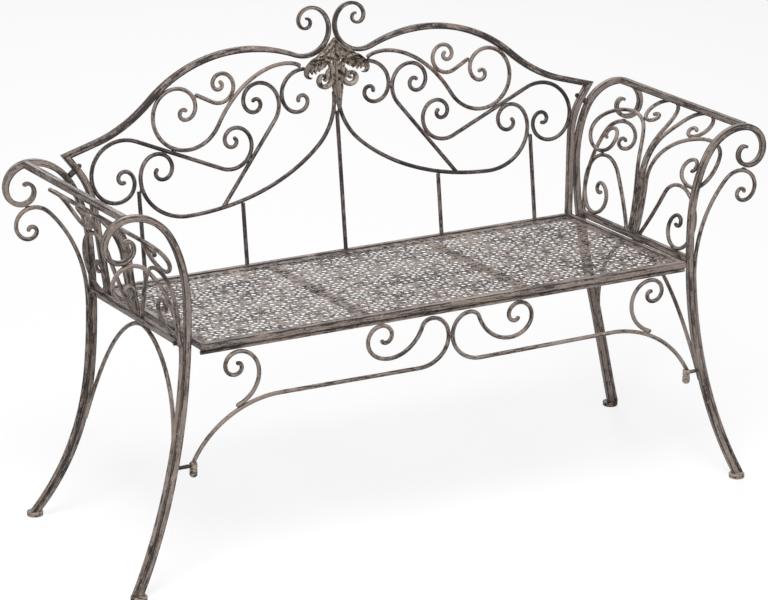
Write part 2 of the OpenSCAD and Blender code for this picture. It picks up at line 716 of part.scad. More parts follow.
// Sleeves at the apron's feet, with a waist, and the pins that tie them to the legs
waist = 1.5;
module apron_sleeves() {
    r = sleeve_d/2;
    color(casting)
    for (side = [-1, 1])
        translate([side*sleeve_x, apron_y, sleeve_top_z - sleeve_h]) rotate_extrude($fn = 48)
            polygon([[0, 0], [r - 2*waist, 0], [r, 2*waist], [r, sleeve_h*0.5], [r - waist, sleeve_h*0.55],
                [r, sleeve_h*0.6], [r, sleeve_h - waist], [r - waist, sleeve_h], [0, sleeve_h]]);
}

pin_z = sleeve_top_z - sleeve_h*0.25;
pin_y = (apron_y + front_post_y(pin_z))/2;
pin_from = sleeve_x + sleeve_d/2 + weld_gap;
leg_lean = atan((front_x_at(pin_z) - front_x_at(pin_z + 40))/40);
pin_to = front_x_at(pin_z + pin_d/2) - (bar_r + weld_gap)/cos(leg_lean);
module apron_pins() {
    color(fastening)
    for (side = [0, 1])
        mirror([side, 0, 0]) translate([pin_from, pin_y, pin_z]) rotate([0, 90, 0])
            cylinder(d = pin_d, h = pin_to - pin_from, $fn = 32);
}

// Studs tie the back's uprights to the arms' back posts, square to the uprights. Their height is
// stretched with the back, so that they stay below its corners.
stud_v = stud_up*back_kv;
stud_pose = [for (k = [0, 1, 2]) lookup(stud_v, [for (s = upright_path) [s[1], s[k]]])];
post_in_back = [for (s = back_path) [s[0], (s[1] - back_foot_z)/cos(recline), s[2]]];
stud_reach = min([for (c = crossings(stud_pose, stud_pose[2] - 90, post_in_back)) if (c[0] > 0) c[0]]);
stud_grip = stud_reach - bar_r - 3*weld_gap;

// Z of the children runs along the stud, from the middle of the upright outwards
module stud_line() {
    in_back() translate([stud_pose[0], back_post_setback/2, stud_pose[1]])
        rotate([0, 180 - stud_pose[2], 0]) children();
}

module back_studs() {
    color(fastening)
    for (side = [0, 1])
        mirror([side, 0, 0]) stud_line() translate([0, 0, -bar_r - hex_h - 2])
            cylinder(d = bolt_d, h = stud_grip + bar_r + hex_h + 2, $fn = 32);
}

module back_nuts() {
    color(fastening)
    for (side = [0, 1])
        mirror([side, 0, 0]) stud_line() translate([0, 0, -bar_r - weld_gap - hex_h]) difference() {
            hex(hex_af, hex_h);
            translate([0, 0, -1]) cylinder(d = bolt_d + 0.2, h = hex_h + 2, $fn = 32);
        }
}

module spacer(length) {
    difference() {
        cylinder(d = spacer_d, h = length, $fn = 32);
        translate([0, 0, -1]) cylinder(d = bolt_hole_d, h = length + 2, $fn = 32);
    }
}

module spacer_tubes() {
    color(fastening)
    for (side = [0, 1])
        mirror([side, 0, 0]) {
            for (y = seat_bolts_y)
                translate([half_w, y, seat_bolt_z(y)]) rotate([0, 90, 0]) spacer(arm_gap);
            stud_line() translate([0, 0, bar_r + 2*weld_gap]) spacer(stud_grip - bar_r - 4*weld_gap);
        }
}

// Seat bolts run from outside the arm rails into the seat's side rails
module seat_bolts() {
    color(fastening)
    for (side = [0, 1])
        for (y = seat_bolts_y)
            mirror([side, 0, 0]) translate([half_w - bolt_bite, y, seat_bolt_z(y)]) rotate([0, 90, 0]) {
                cylinder(d = bolt_d, h = bolt_bite + arm_gap + bar_d + hex_h/2, $fn = 32);
                translate([0, 0, bolt_bite + arm_gap + bar_d]) hex(hex_af, hex_h);
            }
}

// The bench is centred between its foremost foot and the back of its finials.
front_most = front_post_y(0) - cap_d/2;
back_most = back_foot_y + max(column(finial_outline, 1))*sin(recline) + bar_r*cos(recline);
module placed() translate([0, -(front_most + back_most)/2, 0]) children();
module left() mirror([1, 0, 0]) children();

placed() left() front_post();  // left_front_post
placed() front_post();  // right_front_post
placed() left() back_post();  // left_back_post
placed() back_post();  // right_back_post
placed() left() front_leg_rod();  // left_front_leg_rod
placed() front_leg_rod();  // right_front_leg_rod
placed() left() back_leg_rod();  // left_back_leg_rod
placed() back_leg_rod();  // right_back_leg_rod
placed() left() armrest();  // left_armrest
placed() armrest();  // right_armrest
placed() left() arm_rail();  // left_arm_rail
placed() arm_rail();  // right_arm_rail
placed() left() leg_arch();  // left_leg_arch
placed() leg_arch();  // right_leg_arch
placed() left() fan_stems();  // left_fan_stems
placed() fan_stems();  // right_fan_stems
placed() left() fan_front_loop();  // left_fan_front_loop
placed() fan_front_loop();  // right_fan_front_loop
placed() left() fan_back_loop();  // left_fan_back_loop
placed() fan_back_loop();  // right_fan_back_loop
placed() left() fan_front_curl();  // left_fan_front_curl
placed() fan_front_curl();  // right_fan_front_curl
placed() left() fan_back_curl();  // left_fan_back_curl
placed() fan_back_curl();  // right_fan_back_curl
placed() foot_caps();
placed() left() top_rail();  // left_top_rail
placed() top_rail();  // right_top_rail
placed() left() back_upright();  // left_back_upright
placed() back_upright();  // right_back_upright
placed() left() outer_scroll();  // left_outer_scroll
placed() outer_scroll();  // right_outer_scroll
placed() left() crown_scroll();  // left_crown_scroll
placed() crown_scroll();  // right_crown_scroll
placed() left() crown_curl();  // left_crown_curl
placed() crown_curl();  // right_crown_curl
placed() left() diagonal_scroll();  // left_diagonal_scroll
placed() diagonal_scroll();  // right_diagonal_scroll
placed() left() centre_scroll();  // left_centre_scroll
placed() centre_scroll();  // right_centre_scroll
placed() left() swag();  // left_swag
placed() swag();  // right_swag
placed() back_spindles();
placed() centre_ornament();
placed() seat_front_rail();
placed() seat_back_rail();
placed() seat_left_rail();
placed() seat_right_rail();
placed() seat_sheet();
placed() seat_braces();
placed() apron_rod();
placed() left() apron_scroll();  // left_apron_scroll
placed() apron_scroll();  // right_apron_scroll
placed() left() apron_curl();  // left_apron_curl
placed() apron_curl();  // right_apron_curl
placed() apron_sleeves();
placed() apron_pins();
placed() back_studs();
placed() back_nuts();
placed() seat_bolts();
placed() spacer_tubes();
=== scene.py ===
"""Looks of the wrought metal garden bench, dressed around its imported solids."""

from __future__ import annotations

import logging
import math
from dataclasses import dataclass, field
from enum import Enum
from typing import Callable, ClassVar, Optional, Sequence

import bpy
import numpy as np
from mathutils import Matrix, Vector


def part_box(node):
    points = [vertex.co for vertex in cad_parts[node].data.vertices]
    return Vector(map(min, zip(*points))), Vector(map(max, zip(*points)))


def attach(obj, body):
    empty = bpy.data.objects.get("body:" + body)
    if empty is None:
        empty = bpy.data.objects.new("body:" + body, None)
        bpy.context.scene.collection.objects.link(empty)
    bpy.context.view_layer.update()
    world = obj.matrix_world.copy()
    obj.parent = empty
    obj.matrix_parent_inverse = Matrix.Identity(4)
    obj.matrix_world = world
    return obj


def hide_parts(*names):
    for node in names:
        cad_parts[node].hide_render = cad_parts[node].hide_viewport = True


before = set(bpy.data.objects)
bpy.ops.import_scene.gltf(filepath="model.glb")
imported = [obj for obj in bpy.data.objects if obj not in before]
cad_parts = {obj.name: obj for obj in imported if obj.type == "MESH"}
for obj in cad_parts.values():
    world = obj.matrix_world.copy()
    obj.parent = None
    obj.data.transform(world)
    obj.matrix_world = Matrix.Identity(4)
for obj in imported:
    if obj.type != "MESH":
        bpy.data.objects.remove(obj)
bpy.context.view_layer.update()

log = logging.getLogger("bench")

MM = 0.001
# Air between a skin and the solid that it replaces or stands on, in millimetres.
AIR = 0.05
UP = np.array([0.0, 0.0, 1.0])
MIRROR = np.array([-1, 1, 1])
BODY = "root"
ALONG = "along"
# Relief attribute of a casting; its grooves get painted shade from it.
HEIGHT = "height"

Pose = tuple[float, float, float]
Move = tuple[float, ...]
Drawn = tuple[Pose, tuple[Move, ...]]
Place = Callable[[float, float, float], np.ndarray]
Plane = tuple[np.ndarray, np.ndarray]


class Side(Enum):
    """Half of the bench that a piece belongs to."""

    RIGHT = 1
    LEFT = -1

    def of(self, name: str) -> str:
        """A name of this side's own."""
        return f"{self.name.lower()}_{name}"


class Coords(Enum):
    """Coordinates that a finish reads."""

    ALONG_PIECE = "uv"
    IN_SPACE = "object"


class Slot(Enum):
    """Material slot names that the finishes hold."""

    PAINT = "worn_paint"
    CAST = "cast_metal"
    FASTENING = "fastenings"


# Paths


def after(pose: Pose, move: Move, share: float = 1.0) -> Pose:
    """Pose after a share of one move.

    Args:
        pose: Place and heading in degrees before the move.
        move: (length,) for a straight, or (radius, radius, turn) for a bend.
        share: How much of the move is done.

    Returns:
        Place and heading after that share.
    """
    x, y, heading = pose
    h = math.radians(heading)
    if len(move) == 1:
        return x + move[0] * share * math.cos(h), y + move[0] * share * math.sin(h), heading
    r0, r1, turn = move
    s = math.copysign(1, turn)
    k = (r1 - r0) / math.radians(abs(turn))
    r = r0 + (r1 - r0) * share
    a = math.radians(heading + turn * share)
    return (
        x + s * (r * math.sin(a) - r0 * math.sin(h)) + k * (math.cos(a) - math.cos(h)),
        y + s * (r0 * math.cos(h) - r * math.cos(a)) + k * (math.sin(a) - math.sin(h)),
        heading + turn * share,
    )


def move_length(move: Move) -> float:
    """Length of a move's path."""
    return move[0] if len(move) == 1 else (move[0] + move[1]) / 2 * math.radians(abs(move[2]))


def move_share(move: Move, distance: float) -> float:
    """Share of a move that a distance along it takes.

    Args:
        move: A straight or a bend.
        distance: Distance from the move's start.

    Returns:
        The share, from 0 to 1.
    """
    if len(move) == 1 or move[0] == move[1]:
        return distance / move_length(move)
    r0, r1, turn = move
    root = math.sqrt(r0 * r0 + 2 * (r1 - r0) / math.radians(abs(turn)) * distance)
    return (root - r0) / (r1 - r0)


def at_length(pose: Pose, moves: Sequence[Move], distance: float) -> Pose:
    """Pose at a distance along a path.

    Args:
        pose: The path's first pose.
        moves: Its straights and bends.
        distance: Distance from its start.

    Returns:
        Place and heading there.
    """
    for i, move in enumerate(moves):
        if i == len(moves) - 1 or distance <= move_length(move):
            return after(pose, move, move_share(move, distance))
        distance -= move_length(move)
        pose = after(pose, move)
    return pose


@dataclass
class Path:
    """Stations along a flat path.

    Attributes:
        points: One row for each station: x, y, heading in degrees, and which way it bends.
    """

    points: np.ndarray

    @classmethod
    def bent(cls, start: Pose, moves: Sequence[Move], sag: float = 0.03, step: float = 9.0) -> Path:
        """Walks a bend list.

        Args:
            start: First pose.
            moves: Straights and bends.
            sag: Largest bulge that a straight facet cuts off.
            step: Longest facet.

        Returns:
            The path with fine stations.
        """
        sides = [0.0 if len(m) == 1 else math.copysign(1, m[2]) for m in moves]
        for i, side in enumerate(sides):
            if side == 0:
                sides[i] = next((s for s in sides[i:] + sides[i::-1] if s), 0.0)
        rows = [(*start, sides[0])]
        pose = start
        widest_turn = 8.0
        tighter = 0.75
        for i, move in enumerate(moves):
            n = math.ceil(move_length(move) / step)
            if len(move) > 1:
                r = tighter * max(move[0], move[1])
                turn = min(widest_turn, 2 * math.degrees(math.acos(1 - sag / r)))
                n = max(n, math.ceil(abs(move[2]) / turn))
            for k in range(1, n + 1):
                rows.append((*after(pose, move, k / n), sides[i]))
            pose = after(pose, move)
            if i + 1 < len(moves):
                rows[-1] = (*pose, (sides[i] + sides[i + 1]) / 2)
        return cls(np.array(rows))

    @classmethod
    def straight(cls, start: tuple[float, float], end: tuple[float, float], count: int) -> Path:
        """A straight path.

        Args:
            start: Its first point.
            end: Its last point.
            count: Number of its equal steps.

        Returns:
            The path.
        """
        (x0, y0), (x1, y1) = start, end
        dx, dy = x1 - x0, y1 - y0
        heading = math.degrees(math.atan2(dy, dx))
        rows = [(x0 + dx * i / count, y0 + dy * i / count, heading, 0.0) for i in range(count + 1)]
        return cls(np.array(rows))

    @classmethod
    def through(cls, points: Sequence[tuple[float, float]], step: float = 2.5) -> Path:
        """A smooth path through points.

        Args:
            points: Points in order.
            step: Largest distance between stations.

        Returns:
            The path.
        """
        p = np.array(points, float)
        p = np.vstack([2 * p[0] - p[1], p, 2 * p[-1] - p[-2]])
        rows = []
        for i in range(1, len(p) - 2):
            a, b, c, d = p[i - 1 : i + 3]
            n = max(2, math.ceil(float(np.linalg.norm(c - b)) / step))
            for t in np.arange(n + (i == len(p) - 3)) / n:
                square, cube = 2 * a - 5 * b + 4 * c - d, 3 * b - a - 3 * c + d
                q = 0.5 * (2 * b + (c - a) * t + square * t**2 + cube * t**3)
                w = 0.5 * ((c - a) + 2 * square * t + 3 * cube * t**2)
                rows.append((q[0], q[1], math.degrees(math.atan2(w[1], w[0])), 0.0))
        return cls(np.array(rows))

    def stretched(self, kx: float, ky: float, x0: float = 0.0, y0: float = 0.0) -> Path:
        """The path stretched about a fixed point.

        Args:
            kx: Stretch along x.
            ky: Stretch along y.
            x0: X of the fixed point.
            y0: Y of the fixed point.

        Returns:
            The stretched path.
        """
        p = self.points.copy()
        h = np.radians(p[:, 2])
        p[:, 0] = x0 + (p[:, 0] - x0) * kx
        p[:, 1] = y0 + (p[:, 1] - y0) * ky
        p[:, 2] = np.degrees(np.arctan2(ky * np.sin(h), kx * np.cos(h)))
        return Path(p)

    def moved(self, dx: float, dy: float) -> Path:
        """The path moved in its plane."""
        return Path(self.points + [dx, dy, 0.0, 0.0])

    def beside(self, distance: float) -> Path:
        """The path moved to its right-hand side.

        Args:
            distance: How far.

        Returns:
            The parallel path.
        """
        p = self.points.copy()
        h = np.radians(p[:, 2])
        p[:, 0] += distance * np.sin(h)
        p[:, 1] -= distance * np.cos(h)
        return Path(p)

    def pose(self, i: int) -> Pose:
        """Pose of a station."""
        return tuple(self.points[i, :3])

    def lengths(self) -> np.ndarray:
        """Distance of each station from the start."""
        p = self.points
        return np.concatenate([[0], np.cumsum(np.hypot(np.diff(p[:, 0]), np.diff(p[:, 1])))])

    def crossing(self, pose: Pose, reach: float) -> tuple[float, float]:
        """Where a line from a pose meets this path.

        Args:
            pose: Start and heading of the line.
            reach: How far along the line, either way, is searched.

        Returns:
            Distance along the line and heading of this path there.
        """
        d = np.array([math.cos(math.radians(pose[2])), math.sin(math.radians(pose[2]))])
        a = self.points[:-1, :2] - pose[:2]
        way = self.points[1:, :2] - self.points[:-1, :2]
        cross_way = d[0] * way[:, 1] - d[1] * way[:, 0]
        t = -(d[0] * a[:, 1] - d[1] * a[:, 0]) / cross_way
        hits = [
            (float((a[i] + way[i] * t[i]) @ d), math.degrees(math.atan2(way[i, 1], way[i, 0])))
            for i in range(len(t))
            if 0 <= t[i] <= 1
        ]
        return min((h for h in hits if abs(h[0]) < reach), key=lambda h: abs(h[0]))


# Sizes and frames of the bench


@dataclass(frozen=True)
class Plan:
    """Sizes in millimetres and degrees, as the solids have them, and the frames built on them."""

    seat_w: float = 994.0
    seat_d: float = 402.0
    seat_h: float = 445.0
    seat_pitch: float = 2.1
    sheet_recess: float = 2.5
    tile_cols: int = 12
    tile_rows: int = 5
    sheet_margin: float = 9.0
    back_h: float = 458.0
    drawn_back_h: float = 457.8
    recline: float = 8.5
    outer_spindle_x: float = 414.0
    inner_spindle_x: float = 207.0
    arm_h: float = 238.0
    arm_pitch: float = 1.7
    arm_rail_rise: float = 2.0
    arm_gap: float = 16.0
    front_post_setback: float = 16.5
    back_post_setback: float = 4.5
    drawn_seat_h: float = 445.0
    drawn_crest_z: float = 681.0
    front_kick: float = 27.0
    front_kick_z: float = 430.0
    back_kick: float = 96.0
    back_kick_z: float = 290.0
    armrest_out: float = 111.0
    apron_h: float = 190.0
    apron_out: float = 15.0
    bar_d: float = 12.0
    rod_d: float = 8.0
    drawn_tip: float = 6.0
    weld_gap: float = 0.3
    cap_d: float = 30.0
    cap_h: float = 9.0
    sleeve_d: float = 14.0
    sleeve_h: float = 27.0
    centre_shift: float = -222.27

    @property
    def lying(self) -> float:
        """Distance between the centrelines of a bar and a rod that lies on it."""
        return self.bar_r + self.rod_r + self.weld_gap

    @property
    def bar_r(self) -> float:
        """Half the bar's side."""
        return self.bar_d / 2

    @property
    def rod_r(self) -> float:
        """The rod's radius."""
        return self.rod_d / 2

    @property
    def half_w(self) -> float:
        """Half the seat's width."""
        return self.seat_w / 2

    @property
    def post_x(self) -> float:
        """Distance of the posts from the middle at seat height."""
        return self.half_w + self.arm_gap + self.bar_r

    @property
    def back_foot(self) -> tuple[float, float]:
        """Foot of the back panel.

        Returns:
            Y, from the seat's front edge, and Z.
        """
        a = math.radians(self.seat_pitch)
        run = self.seat_d - self.bar_r
        return run * math.cos(a), self.seat_h - run * math.sin(a)

    def front_post_y(self, z: float) -> float:
        """Y of the front posts, from the seat's front edge, at a height."""
        return self.front_post_setback - self.front_kick * max(0.0, 1 - z / self.front_kick_z) ** 2

    def back_post_y(self, z: float) -> float:
        """Y of the back posts at a height.

        Args:
            z: Height above the ground.

        Returns:
            Y from the seat's front edge.
        """
        y, z0 = self.back_foot
        a = math.radians(self.recline)
        plane = y + (z - z0) * math.tan(a) + self.back_post_setback / math.cos(a)
        return plane + self.back_kick * max(0.0, 1 - z / self.back_kick_z) ** 2

    @property
    def crest_front_z(self) -> float:
        """Height of the front posts' crest."""
        return self.seat_h + self.arm_h

    @property
    def crest_back_z(self) -> float:
        """Height of the back posts' crest."""
        run = self.back_post_y(self.crest_front_z) - self.front_post_setback
        return self.crest_front_z - math.tan(math.radians(self.arm_pitch)) * run

    def centred(self, x: float, y: float, z: float) -> np.ndarray:
        """A point given from the seat's front edge, in the bench's own frame."""
        return np.array([x, y + self.centre_shift, z])

    def tilted(
        self, x: float, y: float, z: float, pitch: float, origin: tuple[float, float]
    ) -> np.ndarray:
        """A point of a frame that leans back.

        Args:
            x: Across.
            y: Towards the back, in the leaning frame.
            z: Up, in the leaning frame.
            pitch: Lean in degrees.
            origin: Y and Z that the frame leans about.

        Returns:
            The point in the bench's own frame.
        """
        a = math.radians(pitch)
        return self.centred(
            x,
            origin[0] + y * math.cos(a) + z * math.sin(a),
            origin[1] - y * math.sin(a) + z * math.cos(a),
        )

    def in_seat(self, x: float, y: float, z: float) -> np.ndarray:
        """A point of the seat's frame."""
        return self.tilted(x, y, z, self.seat_pitch, (0.0, self.seat_h))

    def in_arm(self, x: float, y: float, z: float) -> np.ndarray:
        """A point of the arm rail's frame."""
        return self.tilted(x, y, z, self.arm_pitch, (0.0, self.seat_h + self.arm_rail_rise))

    def in_back(self, x: float, v: float, d: float) -> np.ndarray:
        """A point of the back panel: across, up, and out towards the front."""
        return self.tilted(x, -d, v, self.recline, self.back_foot)

    def arm_local(self, y: float, z: float) -> tuple[float, float]:
        """Y and Z in the arm rail's frame.

        Args:
            y: Y from the seat's front edge.
            z: Height above the ground.

        Returns:
            Y and Z in the arm rail's frame.
        """
        a = math.radians(self.arm_pitch)
        dz = z - self.seat_h - self.arm_rail_rise
        return y * math.cos(a) - dz * math.sin(a), y * math.sin(a) + dz * math.cos(a)

    @property
    def armrest_z(self) -> float:
        """Height of the armrest's centreline in the arm rail's frame."""
        return self.arm_local(self.front_post_setback, self.crest_front_z)[1]


# Skins


def round_outline(r: float, sides: int = 14) -> np.ndarray:
    """Outline of a rod, as (across, depth)."""
    a = np.arange(sides) * 2 * math.pi / sides
    return np.stack([r * np.cos(a), r * np.sin(a)], 1)


def bar_outline(w: float, d: float, bevel: float) -> np.ndarray:
    """Outline of a bar with softened corners.

    Args:
        w: Width across.
        d: Depth.
        bevel: Radius of the corners.

    Returns:
        Points (across, depth).
    """
    rows = []
    for sx, sy in ((1, 1), (-1, 1), (-1, -1), (1, -1)):
        corner = []
        for share in (0.0, 0.35, 0.65, 1.0):
            a = math.radians(90 * share)
            across, deep = w / 2 - bevel + bevel * math.cos(a), d / 2 - bevel + bevel * math.sin(a)
            corner.append((sx * across, sy * deep))
        rows += corner if sx * sy > 0 else corner[::-1]
    return np.array(rows)


@dataclass(frozen=True)
class Run:
    """Centreline of one rod or bar, and the distance from it to the outside."""

    points: np.ndarray
    reach: float


def placed(name: str, data: bpy.types.ID) -> bpy.types.Object:
    """A new object in the scene.

    Args:
        name: Its name.
        data: Its mesh, curve, light or camera.

    Returns:
        The object.
    """
    obj = bpy.data.objects.new(name, data)
    bpy.context.scene.collection.objects.link(obj)
    return obj


def dress(obj: bpy.types.Object, finish: Finish, *nodes: str) -> None:
    """Gives a piece its finish and its body, and hides the solids that it stands for.

    Args:
        obj: The finished piece.
        finish: Its finish.
        *nodes: Solids that it replaces.
    """
    obj.data.materials.clear()
    obj.data.materials.append(finish.material)
    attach(obj, BODY)
    if nodes:
        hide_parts(*nodes)
    log.info("%s: %d faces", obj.name, len(obj.data.polygons))


def slid(ring: np.ndarray, way: np.ndarray, plane: Plane) -> np.ndarray:
    """A ring of points slid along a direction until it lies in a plane."""
    return ring + way * (((plane[0] - ring) @ plane[1]) / (way @ plane[1]))[:, None]


class Skin:
    """Mesh gathered from swept rings and turned profiles, with lengthwise coordinates.

    Attributes:
        laid: Centrelines of all rods and bars that became pieces, for the welds between them.
        longest_shift: Largest start of a rod's lengthwise coordinate, in metres.
        tip: Angles of the rings that round off a tip, in degrees.
        tip_length: Length of a rounded tip, as a share of the rod's radius.
    """

    laid: ClassVar[list[Run]] = []
    longest_shift: ClassVar[float] = 7.0
    tip: ClassVar[tuple[float, ...]] = (25, 50, 72)
    tip_length: ClassVar[float] = 0.8

    def __init__(self, seed: int) -> None:
        """Starts empty, with its own fixed random draws.

        Args:
            seed: Seed of the draws.
        """
        self.points: list[np.ndarray] = []
        self.faces: list[tuple[int, ...]] = []
        self.uvs: list[tuple[float, float]] = []
        self.heights: list[np.ndarray] = []
        self.runs: list[Run] = []
        self.count = 0
        self.rng = np.random.default_rng(seed)

    def _wobble(self, rings: int, sides: int, amount: float) -> np.ndarray:
        """Smooth dents.

        Args:
            rings: Number of rings.
            sides: Points in each ring.
            amount: Depth of the dents, as a share of the radius.

        Returns:
            Factors of about one or less, for each point.
        """
        spare, contrast = 4, 1.6
        raw = self.rng.random((rings + 2 * spare, sides))
        kernel = np.array([1, 2, 3, 2, 1]) / 9
        for j in range(sides):
            raw[:, j] = np.convolve(raw[:, j], kernel, "same")
        raw = (raw + np.roll(raw, 1, 1) + np.roll(raw, -1, 1)) / 3
        return 1 - amount * (1.0 - raw[spare : rings + spare]) * contrast

    def rings(self, rings: np.ndarray, heights: Optional[np.ndarray] = None) -> None:
        """Skins rings of points and closes both ends.

        Args:
            rings: Array of rings, sides and coordinates in millimetres.
            heights: Relief of each side, from 0 in a groove to 1 on a ridge.
        """
        n, k, _ = rings.shape
        steps = np.linalg.norm(np.diff(rings.mean(1), axis=0), axis=1)
        self.heights.append(np.ones(n * k) if heights is None else np.tile(heights, n))
        start = float(self.rng.random() * self.longest_shift)
        along = start + np.concatenate([[0], np.cumsum(steps)]) * MM
        around = np.linalg.norm(np.roll(rings[n // 2], -1, 0) - rings[n // 2], axis=1)
        around = np.concatenate([[0], np.cumsum(around)]) * MM
        base = self.count
        self.points.append(rings.reshape(-1, 3) * MM)
        self.count += n * k
        for i in range(n - 1):
            for j in range(k):
                a, b = base + i * k + j, base + i * k + (j + 1) % k
                self.faces.append((a, b, b + k, a + k))
                corners = ((i, j), (i, j + 1), (i + 1, j + 1), (i + 1, j))
                self.uvs += [(along[ring], around[side]) for ring, side in corners]
        for ring, sides in ((0, range(k - 1, -1, -1)), (n - 1, range(k))):
            self.faces.append(tuple(base + ring * k + j for j in sides))
            self.uvs += [(along[ring], around[j]) for j in sides]

    def sweep(
        self,
        path: Path,
        place: Place,
        outlines: np.ndarray | Sequence[np.ndarray],
        stand: Optional[Plane] = None,
        tip_start: bool = False,
        tip_end: bool = True,
        dents: float = 0.05,
        heights: Optional[np.ndarray] = None,
    ) -> None:
        """Sweeps an outline along a path.

        Args:
            path: Flat path.
            place: Puts (along x, along y, depth) of the path's surface in space.
            outlines: One outline, or one for each station.
            stand: Point and normal of a plane that the first ring is slid onto.
            tip_start: Whether the first end is rounded.
            tip_end: Whether the last end is rounded.
            dents: Depth of the hammered dents, as a share of the radius.
            heights: Relief of each point of the outline. A rod or bar has none.
        """
        near = 0.4
        if not isinstance(outlines, list):
            outlines = [outlines] * len(path.points)
        centres, rings = [], []
        wob = self._wobble(len(path.points), len(outlines[0]), dents)
        for (x, y, heading, _), outline, factors in zip(path.points, outlines, wob):
            h = math.radians(heading)
            c = place(x, y, 0.0)
            across = (place(x - near * math.sin(h), y + near * math.cos(h), 0.0) - c) / near
            depth = (place(x, y, near) - c) / near
            centres.append(c)
            rings.append([c + (across * q[0] + depth * q[1]) * f for q, f in zip(outline, factors)])
        r = np.array(rings)
        if stand is not None:
            r[0] = slid(r[0], r[1].mean(0) - r[0].mean(0), stand)
        if tip_end:
            r = self._rounded(r)
        if tip_start:
            r = self._rounded(r[::-1])[::-1]
        if heights is None:
            self.runs.append(Run(np.array(centres), float(np.abs(outlines[0]).max())))
        if self._faces_out(r, r[1].mean(0) - r[0].mean(0)):
            self.rings(r, heights)
        else:
            self.rings(r[:, ::-1], None if heights is None else heights[::-1])

    @staticmethod
    def _faces_out(r: np.ndarray, way: np.ndarray) -> bool:
        """Whether rings along a direction wind so that their faces look outwards."""
        return np.cross(r[1][0] - r[1].mean(0), r[1][1] - r[1].mean(0)) @ way > 0

    def _rounded(self, r: np.ndarray) -> np.ndarray:
        """Adds a rounded tip past the last ring.

        Args:
            r: Rings of points.

        Returns:
            The rings with the tip's.
        """
        middle = r[-1].mean(0)
        way = middle - r[-2].mean(0)
        way = way / np.linalg.norm(way)
        reach = float(np.linalg.norm(r[-1] - middle, axis=1).mean()) * self.tip_length
        spokes = r[-1] - middle
        tips = [middle + spokes * math.cos(a) + way * reach * math.sin(a) for a in np.radians(self.tip)]
        return np.concatenate([r, np.array(tips)])

    def turned(self, profile: Sequence[tuple[float, float]], foot: np.ndarray, sides: int = 40) -> None:
        """Turns a profile about an upright axis.

        Args:
            profile: (radius, height) points from the bottom up.
            foot: Foot of the axis.
            sides: Points around.
        """
        x = np.array(Vector(UP).orthogonal().normalized())
        y = np.cross(UP, x)
        least = 0.02
        spokes = [x * math.cos(a) + y * math.sin(a) for a in np.arange(sides) * 2 * math.pi / sides]
        r = np.array([[foot + UP * h + max(out, least) * way for way in spokes] for out, h in profile])
        self.rings(r if self._faces_out(r, UP) else r[:, ::-1])

    def _turned_over(self) -> tuple[list[tuple[int, ...]], list[tuple[float, float]]]:
        """All faces and their lengthwise coordinates, turned over.

        Returns:
            Faces and coordinates of their corners.
        """
        faces, uvs, at = [], [], 0
        for face in self.faces:
            faces.append(face[::-1])
            uvs += self.uvs[at : at + len(face)][::-1]
            at += len(face)
        return faces, uvs

    def add_mirror_image(self) -> None:
        """Adds the mirror image, across the middle of the bench, of all that the skin holds."""
        faces, uvs = self._turned_over()
        self.faces += [tuple(i + self.count for i in face) for face in faces]
        self.uvs += uvs
        self.points.append(np.concatenate(self.points) * MIRROR)
        self.heights += self.heights
        self.count *= 2

    def piece(
        self, name: str, finish: Finish, *nodes: str, side: Side = Side.RIGHT, crisp: float = 35.0
    ) -> None:
        """Makes the Blender object, with its place in its mesh, and dresses it.

        Args:
            name: Name of the piece.
            finish: Its finish.
            *nodes: Solids that it replaces.
            side: The left side is the mirror image.
            crisp: Edges sharper than this angle stay crisp.
        """
        points, faces, uvs = np.concatenate(self.points), self.faces, self.uvs
        Skin.laid += [Run(run.points * [side.value, 1, 1], run.reach) for run in self.runs]
        if side is Side.LEFT:
            points = points * MIRROR
            faces, uvs = self._turned_over()
        mesh = bpy.data.meshes.new(name)
        mesh.from_pydata(points.tolist(), [], faces)
        layer = mesh.uv_layers.new(name=ALONG)
        layer.data.foreach_set("uv", np.array(uvs, np.float32).ravel())
        relief = mesh.attributes.new(HEIGHT, "FLOAT", "POINT")
        relief.data.foreach_set("value", np.concatenate(self.heights).astype(np.float32))
        mesh.polygons.foreach_set("use_smooth", [True] * len(mesh.polygons))
        mesh.set_sharp_from_angle(angle=math.radians(crisp))
        mesh.validate()
        dress(placed(name, mesh), finish, *nodes)


# Node trees

Settings = dict[str, object]
Values = dict[str | int, object]


class Value:
    """An output of a node tree, on which Python's arithmetic adds Math nodes."""

    def __init__(self, tree: Tree, socket: bpy.types.NodeSocket) -> None:
        """Wraps an output socket."""
        self.tree = tree
        self.socket = socket

    def __add__(self, other: Value | float) -> Value:
        """Sum."""
        return self.tree.math("ADD", self, other)

    __radd__ = __add__

    def __mul__(self, other: Value | float) -> Value:
        """Product."""
        return self.tree.math("MULTIPLY", self, other)

    __rmul__ = __mul__

    def __sub__(self, other: Value | float) -> Value:
        """Difference."""
        return self.tree.math("SUBTRACT", self, other)

    def __rsub__(self, other: Value | float) -> Value:
        """Difference from a number."""
        return self.tree.math("SUBTRACT", other, self)

    def high(self, low: float, top: float) -> Value:
        """Smooth step.

        Args:
            low: Level below which it is 0.
            top: Level above which it is 1.

        Returns:
            The step.
        """
        settings = {"interpolation_type": "SMOOTHSTEP", "clamp": True}
        values = {"Value": self, "From Min": low, "From Max": top}
        return self.tree.node("ShaderNodeMapRange", settings, values)["Result"]


@dataclass(frozen=True)
class Grain:
    """A noise pattern.

    Attributes:
        scale: Features per metre, or finer still where it is stretched.
        detail: Number of finer layers in it.
        rough: Strength of the finer layers.
        stretch: Features per metre along and across, where it is stretched.
    """

    scale: float
    detail: float = 3.0
    rough: float = 0.55
    stretch: Optional[tuple[float, float, float]] = None


